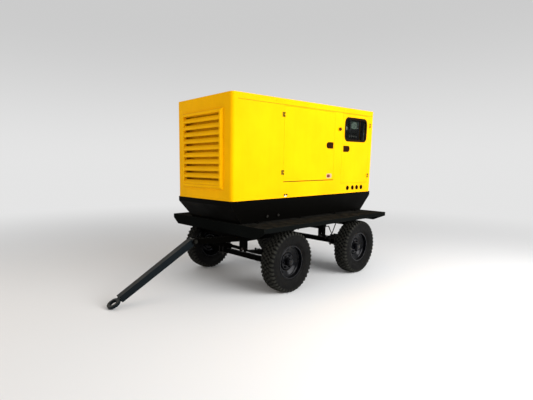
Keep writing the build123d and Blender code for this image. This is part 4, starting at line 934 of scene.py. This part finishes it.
def gauges():
    """Three dials with marks, a needle each and round bezels."""
    z = BASE_Z + 0.985
    bezels, dials, needles = bmesh.new(), bmesh.new(), bmesh.new()
    for number in range(3):
        y = FRONT_Y + 2.275 + 0.078 * number

        def spot(out, radius, angle):
            return Vector((PANEL_X + out, y + radius * math.sin(angle), z + radius * math.cos(angle)))

        seat = facing((PANEL_X, y, z), X_AXIS)
        ring = [(0, 0.026), (0, 0.033), (0.010, 0.033), (0.012, 0.031), (0.012, 0.0275), (0.006, 0.026)]
        lathe(bezels, ring, seat, 40, True)
        lathe(dials, [(0.0, 0), (0.0, 0.0265), (0.004, 0.0265), (0.004, 0)], seat, 40)
        for mark in range(9):
            angle = math.radians(-130 + 260 * mark / 8)
            tube(needles, [spot(0.0042, 0.021, angle), spot(0.0042, 0.025, angle)], 0.0007, 4)
        lean = math.radians(-60 + 50 * number)
        tube(needles, [spot(0.0055, 0, lean), spot(0.0055, 0.018, lean)], 0.0011, 6)
        lathe(needles, [(0.004, 0), (0.004, 0.004), (0.007, 0.003), (0.007, 0)], seat, 16)
    piece("gauge_bezels", bezels, "lever_black")
    piece("gauge_dials", dials, "white_plastic")
    piece("gauge_needles", needles, "lever_black")


def panel_fittings():
    """Row of switches and the panel's screws."""
    bm = bmesh.new()
    ring = [(0, 0), (0, 0.014), (0.005, 0.014), (0.006, 0.0105)]
    ring += [(0.014, 0.010), (0.016, 0.006), (0.016, 0)]
    for number in range(4):
        seat = facing((PANEL_X, FRONT_Y + 2.52 + 0.06 * number, BASE_Z + 0.865), X_AXIS)
        turned(bm, seat, ring, 0.001, 24)
    piece("panel_switches", bm, "zinc_steel")
    bm = bmesh.new()
    low, high, inset = PANEL_LOW, PANEL_HIGH, 0.014
    for y in (low.y + inset, high.y - inset):
        for z in (low.z + inset, high.z - inset):
            screw(bm, (PANEL_X, y, z), X_AXIS, 0.005)
    screw(bm, (PANEL_X, (low.y + high.y) / 2 - inset, low.z + inset), X_AXIS, 0.005)
    piece("panel_screws", bm, "zinc_steel")


def control_compartment():
    """Upright stay behind the window, and the sheet beside the panel."""
    seal_low, seal_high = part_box("window_seal")
    bm = bmesh.new()
    x = SIDE_X - 0.022
    y = seal_high.y - 0.055
    box(bm, (x, y - 0.005, seal_low.z + 0.012), (x + 0.008, y + 0.005, seal_high.z - 0.012), 0.001)
    piece("window_stay", bm, "zinc_steel", "left_control_door")
    bm = bmesh.new()
    low, high = PANEL_LOW, PANEL_HIGH
    x = high.x - 0.012
    near, far = high.y + 0.001, REAR_Y - 0.004
    box(bm, (x, near, low.z), (x + 0.002, far, high.z))
    for z in (low.z, high.z - 0.002):
        box(bm, (x - 0.020, near, z), (x, far, z + 0.002))
    for share in (0.15, 0.5, 0.85):
        screw(bm, (x + 0.002, REAR_Y - 0.018, low.z + (high.z - low.z) * share), X_AXIS, 0.005)
    piece("compartment_sheet", bm, "panel_grey")


# ---- engine bay
CRANK_Z = 1.503
CYLINDERS = 6
CYLINDER_PITCH = 0.13


def at(x, station, z):
    """Point at a station behind the canopy's front face and a height above the ground."""
    return Vector((x, FRONT_Y + station, z))


def hoses():
    """Two coolant hoses and the intake hose, with clips at the coolant hoses' ends."""
    upper = [
        (-0.20, 0.20, 2.175), (-0.20, 0.27, 2.17), (-0.13, 0.37, 2.05),
        (-0.055, 0.42, 1.92), (-0.05, 0.46, 1.81),
    ]
    lower = [
        (0.25, 0.20, 1.222), (0.262, 0.26, 1.235), (0.235, 0.34, 1.36),
        (0.175, 0.39, 1.46), (0.14, 0.42, 1.50),
    ]
    intake = [(0.225, 0.80, 2.01), (0.225, 0.74, 2.01), (0.235, 0.62, 2.03), (0.24, 0.50, 2.06)]
    rubber_hoses, clips = bmesh.new(), bmesh.new()
    for path in (upper, lower):
        route = curve([at(*spot) for spot in path], 9)
        tube(rubber_hoses, route, 0.026, 18, 0.03)
        for here, there in ((route[2], route[3]), (route[-3], route[-2])):
            band(clips, facing(here, there - here), (-0.006, 0.006), 0.0275, 0.029, 28)
    tube(rubber_hoses, curve([at(*spot) for spot in intake], 8), 0.048, 20, 0.06)
    piece("coolant_and_air_hoses", rubber_hoses, "seal_rubber", angle=60)
    piece("hose_clips", clips, "zinc_steel")


def fuel_system():
    """Injection pump with its drive, delivery lines, injectors, and the oil and fuel filters."""
    bm = bmesh.new()
    pump = facing(at(0.205, 0.60, 1.585), Y_AXIS)
    body = [(0, 0), (0, 0.032), (0.02, 0.034), (0.02, 0.046), (0.23, 0.046)]
    body += [(0.23, 0.036), (0.27, 0.034), (0.27, 0)]
    turned(bm, pump, body, 0.004, 32)
    box(bm, at(0.172, 0.62, 1.60), at(0.238, 0.82, 1.668), 0.006)
    box(bm, at(0.148, 0.64, 1.50), at(0.222, 0.80, 1.556), 0.004)
    piece("injection_pump", bm, "rotor_steel")
    lines = bmesh.new()
    injectors = bmesh.new()
    body = [(0, 0), (0, 0.012), (0.018, 0.011), (0.020, 0.007), (0.034, 0.006), (0.034, 0)]
    for number in range(CYLINDERS):
        station = 0.54 + CYLINDER_PITCH * number
        outlet = at(0.205, 0.64 + 0.03 * number, 1.668)
        nozzle = at(0.098, station, 1.835)
        middle = outlet.lerp(nozzle, 0.5) + Vector((0.028, 0, 0.045 + 0.006 * number))
        start, end = outlet + Vector((0, 0, 0.035)), nozzle + Vector((0.012, 0, 0.02))
        tube(lines, curve([outlet, start, middle, end, nozzle], 6), 0.0034, 8)
        bolt(injectors, outlet, Z_AXIS, 0.014)
        lathe(injectors, body, facing(at(0.098, station, 1.812), Z_AXIS), 16)
    piece("injector_lines", lines, "zinc_steel", angle=60)
    piece("injectors", injectors, "rotor_steel")
    bm = bmesh.new()
    cans = ((0.98, 1.43, 0.046, 0.135), (1.09, 1.43, 0.046, 0.135), (0.94, 1.63, 0.038, 0.11))
    for station, z, radius, length in cans:
        can = facing(at(0.215, station, z), Z_AXIS)
        shell = [(0, 0), (0, radius * 0.7), (0.012, radius), (length, radius)]
        shell += [(length + 0.004, radius * 0.9), (length + 0.004, 0)]
        turned(bm, can, shell, 0.004, 36)
    piece("oil_and_fuel_filters", bm, "white_plastic")
    bm = bmesh.new()
    box(bm, at(0.148, 0.93, 1.569), at(0.255, 1.14, 1.592), 0.004)
    box(bm, at(0.148, 0.90, 1.744), at(0.25, 0.98, 1.762), 0.004)
    piece("filter_heads", bm, "rotor_steel")


def engine_trim():
    """Starter motor with its solenoid, oil filler cap, bolts and silencer straps."""
    bm = bmesh.new()
    starter = facing(at(0.235, 1.06, 1.425), Y_AXIS)
    body = [(0, 0), (0, 0.036), (0.012, 0.046), (0.15, 0.046), (0.15, 0.034), (0.18, 0.052)]
    body += [(0.238, 0.052), (0.238, 0)]
    turned(bm, starter, body, 0.004, 36)
    solenoid = facing(at(0.235, 1.10, 1.497), Y_AXIS)
    turned(bm, solenoid, [(0, 0), (0, 0.024), (0.11, 0.024), (0.11, 0)], 0.003, 28)
    piece("starter_motor", bm, "plastic_black")
    bm = bmesh.new()
    cap = facing(at(0, 0.70, 1.884), Z_AXIS)
    turned(bm, cap, [(0, 0), (0, 0.030), (0.018, 0.028), (0.022, 0.020), (0.022, 0)], 0.003, 10)
    piece("oil_filler_cap", bm, "plastic_black", angle=25)
    bm = bmesh.new()
    for number in range(5):
        for x in (-0.098, 0.098):
            bolt(bm, at(x, 0.475 + 0.187 * number, 1.815), Z_AXIS, 0.013)
    for number in range(CYLINDERS):
        for lift in (-0.017, 0.017):
            bolt(bm, at(-0.175, 0.50 + CYLINDER_PITCH * number, 1.765 + lift), (-1, 0, 0), 0.012)
    for number in range(12):
        turn = TAU * (number + 0.5) / 12
        spot = at(0.205 * math.cos(turn), 2.020, CRANK_Z + 0.205 * math.sin(turn))
        bolt(bm, spot, Y_AXIS, 0.013)
    for y in (1.625, 1.925):
        for x in (-0.155, 0.155):
            screw(bm, at(x, y, 1.853), Z_AXIS, 0.007)
    piece("engine_bolts", bm, "zinc_steel")
    bm = bmesh.new()
    for station in (0.76, 1.16):
        band(bm, facing(at(-0.146, station, 2.190), Y_AXIS), (-0.014, 0.014), 0.1055, 0.1085, 48)
        near, far = station - 0.014, station + 0.014
        for x in (-0.232, -0.060):
            box(bm, at(x - 0.003, near, 2.235), at(x + 0.003, far, TOP_Z - 0.0032), 0.001)
    piece("silencer_straps", bm, "zinc_steel")


def radiator_trim():
    """Fins and tubes on the core's front face, and the filler cap."""
    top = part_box("radiator")[1].z
    core_low, core_high = 1.265, 2.128
    face_y = FRONT_Y + 0.135
    bm = bmesh.new()
    for number in range(46):
        x = -0.352 + 0.704 * number / 45
        box(bm, (x - 0.0012, face_y - 0.0025, core_low), (x + 0.0012, face_y + 0.001, core_high))
    for number in range(36):
        z = core_low + (core_high - core_low) * (number + 0.5) / 36
        box(bm, (-0.356, face_y - 0.0016, z - 0.0008), (0.356, face_y + 0.001, z + 0.0008))
    piece("radiator_fins", bm, "radiator_black")
    bm = bmesh.new()
    cap = [(0, 0), (0, 0.038), (0.010, 0.038), (0.014, 0.030), (0.016, 0.012), (0.016, 0)]
    turned(bm, facing(at(0, 0.158, top - 0.001), Z_AXIS), cap, 0.002, 12)
    piece("radiator_cap", bm, "zinc_steel", angle=25)


def cables():
    """Battery leads, terminals and vent plugs, and the alternator's output cables to the cabinet."""
    post_z = BASE_Z + 0.243
    red, black = bmesh.new(), bmesh.new()
    to_starter = [
        (-0.32, 2.30, post_z + 0.004), (-0.335, 2.22, post_z + 0.02), (-0.36, 2.10, 1.30),
        (-0.35, 1.80, 1.195), (-0.20, 1.42, 1.190), (0.05, 1.40, 1.192), (0.24, 1.39, 1.22),
        (0.30, 1.30, 1.35), (0.245, 1.20, 1.505),
    ]
    to_frame = [
        (-0.32, 2.53, post_z + 0.004), (-0.34, 2.60, post_z + 0.01),
        (-0.40, 2.66, 1.30), (-0.43, 2.68, 1.185),
    ]
    for bm, path in ((red, to_starter), (black, to_frame)):
        tube(bm, curve([at(*spot) for spot in path], 8), 0.008, 10)
    for number in range(4):
        shift = 0.034 * number
        start = at(0.165, 1.83 + 0.028 * number, 1.76)
        drop = 0.01 * number
        path = [start, start + Vector((0.06, 0.02, -0.03)), at(0.30 - drop, 2.06, 1.64 - drop)]
        path += [at(0.30, 2.30 + shift, 1.62), at(0.31, 2.42 + shift, 1.66), at(0.31, 2.44 + shift, 1.734)]
        tube(black, curve(path, 8), 0.0115, 12)
    piece("battery_positive_lead", red, "red_plastic", angle=60)
    piece("black_cables", black, "seal_rubber", angle=60)
    bm = bmesh.new()
    for station in (2.30, 2.53):
        low = at(-0.336, station - 0.016, post_z - 0.016)
        box(bm, low, at(-0.304, station + 0.016, post_z + 0.002), 0.003)
        bolt(bm, at(-0.304, station, post_z - 0.008), X_AXIS, 0.010)
    piece("battery_terminals", bm, "zinc_steel")
    bm = bmesh.new()
    top = BASE_Z + 0.225
    box(bm, at(-0.457, 2.243, top - 0.020), at(-0.283, 2.587, top - 0.0003), 0.003)
    for number in range(6):
        plug = facing(at(-0.41, 2.28 + 0.054 * number, top - 0.001), Z_AXIS)
        turned(bm, plug, [(0, 0), (0, 0.014), (0.006, 0.014), (0.008, 0.009), (0.008, 0)], 0.001, 20)
    piece("battery_lid", bm, "plastic_black")


# ---- chassis
RING_TABS = 16
BEAM_HALF = 0.033


def base_trim():
    """Weld seam round the base frame's foot, and the tabs that bolt it to the deck."""
    bm = bmesh.new()
    x, z = 0.520, DECK_TOP + 0.001
    y0, y1 = FRONT_Y + 0.200, FRONT_Y + 2.815
    for side in (-1, 1):
        bead(bm, (side * x, y0, z), (side * x, y1, z), 0.0045)
    for y in (y0, y1):
        bead(bm, (-x, y, z), (x, y, z), 0.0045)
    piece("base_weld_seam", bm, "chassis_black", angle=60)
    bm = bmesh.new()
    for station in (0.45, 1.25, 2.05, 2.60):
        for side in (-1, 1):
            edge = side * 0.522
            y = FRONT_Y + station
            inner, outer = sorted((edge, edge + side * 0.070))
            box(bm, (inner, y - 0.035, DECK_TOP), (outer, y + 0.035, DECK_TOP + 0.008), 0.0015)
            bolt(bm, (edge + side * 0.045, y, DECK_TOP + 0.008), Z_AXIS, 0.022)
    piece("base_hold_downs", bm, "chassis_black")


def turntable_trim():
    """Guard lips and tabs round the turntable's two rings, with grease nipples on the lower one."""
    kingpin = pivot("steering")
    centre = Matrix.Translation((kingpin.x, kingpin.y, 0))
    bm = bmesh.new()
    for number in range(RING_TABS):
        out = polar(1.0, TAU * (number + 0.5) / RING_TABS)
        place = facing((kingpin.x + 0.404 * out.x, kingpin.y + 0.404 * out.y, 0.773), out)
        box(bm, (-0.012, -0.006, -0.011), (0.012, 0.006, 0.011), 0.001, place)
    lip = [(0.7615, 0.3995), (0.7615, 0.406), (0.766, 0.4065), (0.766, 0.3995)]
    lathe(bm, lip, centre, 96, True)
    piece("turntable_ring_tabs", bm, "chassis_black")
    bm = bmesh.new()
    band(bm, centre, (0.7535, 0.7585), 0.3995, 0.4065, 96)
    for side in (-1, 1):
        nipple(bm, (side * 0.403, kingpin.y, 0.745), (side, 0, 0))
    piece("turntable_lower_lip", bm, "chassis_black", "bogie")


def axle_trim():
    """Weld seams where the stubs and spring seats meet the beams."""
    for end, beam_z, seat_z in (("front", 0.337, 0.425), ("rear", 0.419, 0.454)):
        y = pivot(f"{end}_left_wheel_spin").y
        near, far = y - BEAM_HALF, y + BEAM_HALF
        bm = bmesh.new()
        for side in (-1, 1):
            for z in (beam_z - BEAM_HALF, beam_z + BEAM_HALF):
                bead(bm, (side * 0.645, near, z), (side * 0.645, far, z), 0.003)
            for x in (0.408, 0.492):
                bead(bm, (side * x, near, seat_z - 0.003), (side * x, far, seat_z - 0.003), 0.003)
        piece(f"{end}_axle_welds", bm, "chassis_black", f"{end}_axle", 60)


def rear_stays():
    """Bent bars beside the rear springs that catch the axle on full rebound."""
    axle_y = pivot("rear_left_wheel_spin").y
    bm = bmesh.new()
    for side in (-1, 1):
        x = side * 0.380
        outline = ((-0.225, 0.655), (-0.060, 0.648), (0.033, 0.512), (0.12, 0.660), (0.12, 0.800))
        tube(bm, [(x, axle_y - 0.225, 0.800), (x, axle_y - 0.215, 0.525)], 0.009, 12)
        tube(bm, [(x, axle_y + y, z) for y, z in outline], 0.008, 12)
        bolt(bm, (x + side * 0.008, axle_y - 0.225, 0.655), (side, 0, 0), 0.018)
    piece("rear_axle_stays", bm, "chassis_black", angle=50)


def drawbar_trim():
    """Weld seams round the eye's end plate and the hinge barrel, and a grease nipple."""
    hinge = pivot("drawbar_pitch")
    eye = Vector(next(m for m in frame["record"]["mounts"] if m["name"] == "tow_eye_bore")["pos_m"])
    along = (eye - hinge).normalized()
    up = Vector(X_AXIS).cross(along).normalized()
    if up.z < 0:
        up = -up

    def local(x, distance, lift):
        return hinge + Vector(X_AXIS) * x + along * distance + up * lift

    bm = bmesh.new()
    end = (eye - hinge).length - 0.085
    for lift in (0.0185, -0.0185):
        bead(bm, local(-0.031, end, lift), local(0.031, end, lift), 0.003)
    for x in (-0.031, 0.031):
        bead(bm, local(x, end, -0.0185), local(x, end, 0.0185), 0.003)
    for lift in (-0.0205, 0.0205):
        bead(bm, local(-0.046, 0.029, lift), local(0.046, 0.029, lift), 0.0035)
    piece("drawbar_welds", bm, "drawbar_grey", "drawbar", 60)
    bm = bmesh.new()
    nipple(bm, local(0, 0, 0.0355), up, 0.002)
    piece("drawbar_grease_nipple", bm, "zinc_steel", "drawbar")


# ---- stage
HORIZON = 0.78
ZENITH = 0.60
SOFT_LIGHT = 0.62
FLOOR_FADE = (2.5, 11.0)
PURE_WHITE = (1.0, 1.0, 1.0, 1.0)


def lamp(name, at, target, size, power, colour=(1, 1, 1)):
    data = bpy.data.lights.new(name, "AREA")
    data.shape = "RECTANGLE"
    data.size, data.size_y = size
    data.energy = power
    data.color = colour
    made = bpy.data.objects.new(name, data)
    made.location = at
    made.rotation_euler = (Vector(target) - Vector(at)).to_track_quat("-Z", "Y").to_euler()
    made.visible_camera = False
    link(made)


def floor():
    """Wide pale floor that fades into the horizon's glow, so its edge can't be seen."""
    bm = bmesh.new()
    lathe(bm, [(0.0, 0.0), (0.0, 6.0), (0.0, 30.0), (0.0, 120.0)], Matrix.Translation((0, 0, -0.0005)), 96)
    plane = bpy.data.objects.new("floor", bpy.data.meshes.new("floor"))
    bm.to_mesh(plane.data)
    bm.free()
    look = Finish("floor")
    look.set(Base_Color=look.mix(look.noise(0.4, 3), (0.80, 0.80, 0.80, 1), (0.77, 0.775, 0.78, 1)))
    look.set(Roughness=0.6, Specular_IOR_Level=0.2)
    distance = look.node("VectorMath", {0: look.geometry.outputs["Position"]}, operation="LENGTH")
    near, far = FLOOR_FADE
    inputs = {"Value": distance.outputs["Value"], "From Min": near, "From Max": far}
    share = look.node("MapRange", inputs, interpolation_type="SMOOTHSTEP").outputs[0]
    glow = look.node("Emission", {"Color": (HORIZON, HORIZON, HORIZON, 1)}).outputs[0]
    blend = look.node("MixShader", {0: share, 1: look.shader.outputs[0], 2: glow}).outputs[0]
    look.put(look.tree.nodes["Material Output"].inputs["Surface"], blend)
    plane.data.materials.append(look.material)
    link(plane)


def sky():
    """Soft white light from all round, seen by the camera as a pale sky that shades up to grey."""
    world = bpy.data.worlds.new("studio")
    world.use_nodes = True
    graph = Graph(world.node_tree)
    soft = graph.tree.nodes["Background"]
    graph.put(soft.inputs["Color"], PURE_WHITE)
    graph.put(soft.inputs["Strength"], SOFT_LIGHT)
    height = graph.node("SeparateXYZ", {0: graph.node("TexCoord", {}).outputs["Generated"]}).outputs["Z"]
    inputs = {"Value": height, "From Max": 0.32, "To Min": HORIZON, "To Max": ZENITH}
    shade = graph.node("MapRange", inputs, interpolation_type="SMOOTHSTEP").outputs[0]
    seen = graph.node("Background", {"Color": PURE_WHITE, "Strength": shade}).outputs[0]
    to_camera = graph.node("LightPath", {}).outputs["Is Camera Ray"]
    blend = graph.node("MixShader", {0: to_camera, 1: soft.outputs[0], 2: seen}).outputs[0]
    graph.put(graph.tree.nodes["World Output"].inputs["Surface"], blend)
    bpy.context.scene.world = world


def studio():
    """Floor, a large key light on the control side, a warm fill in front, and the sky."""
    floor()
    lamp("key", (6.0, 1.4, 3.0), (0, 0.7, 1.5), (6.0, 3.0), 520)
    lamp("front", (-1.0, -6.5, 3.0), (0, 0, 1.4), (4.0, 2.5), 60, (1.0, 0.82, 0.62))
    sky()
    bpy.context.scene.view_settings.view_transform = "Standard"


CAMERA_AT = (4.075, -3.891, 1.614)
AZIMUTH, ELEVATION = math.radians(51.19), math.radians(8.84)
FOCAL_LENGTH = 26.755
LENS_SHIFT = (0.0925, 0.0479)


def camera():
    """Camera at the photo's place and angle, with the photo's off-centre crop as lens shift."""
    data = bpy.data.cameras.new("camera")
    data.lens = FOCAL_LENGTH
    data.shift_x, data.shift_y = LENS_SHIFT
    level = math.cos(ELEVATION)
    back = Vector((math.sin(AZIMUTH) * level, -math.cos(AZIMUTH) * level, math.sin(ELEVATION)))
    shape = bpy.data.objects.new("camera", data)
    shape.location = CAMERA_AT
    shape.rotation_euler = (-back).to_track_quat("-Z", "Y").to_euler()
    link(shape)
    bpy.context.scene.camera = shape


# ---- put it together
EDGES = {
    "deck": 0.002, "turntable_upper_ring": 0.002, "front_axle": 0.003, "rear_axle": 0.003, "drawbar": 0.004,
    "base_tank": 0.003, "roof_panel": 0.003, "window_seal": 0.0012, "radiator": 0.002, "battery": 0.004,
    "control_cabinet": 0.001, "breaker_lever": 0.0015,
}
for door in ("left_engine", "right_engine", "left_control"):
    EDGES[f"{door}_latch_cup"] = EDGES[f"{door}_latch_handle"] = 0.0015
for subpart in frame["record"]["subparts"]:
    node = subpart["node"]
    dress(node, EDGES.get(node, 0.0), FINISHES[OWN_FINISH.get(node, subpart["material_slot"])])
wheels()
springs()
louvre("front_louvre", FRONT_Y, -1)
louvre("rear_louvre", REAR_Y, 1)
canopy_trim()
seam_strips()
doors()
blank_plates()
controller()
gauges()
panel_fittings()
control_compartment()
hoses()
fuel_system()
engine_trim()
radiator_trim()
cables()
base_trim()
turntable_trim()
axle_trim()
rear_stays()
drawbar_trim()
studio()
camera()
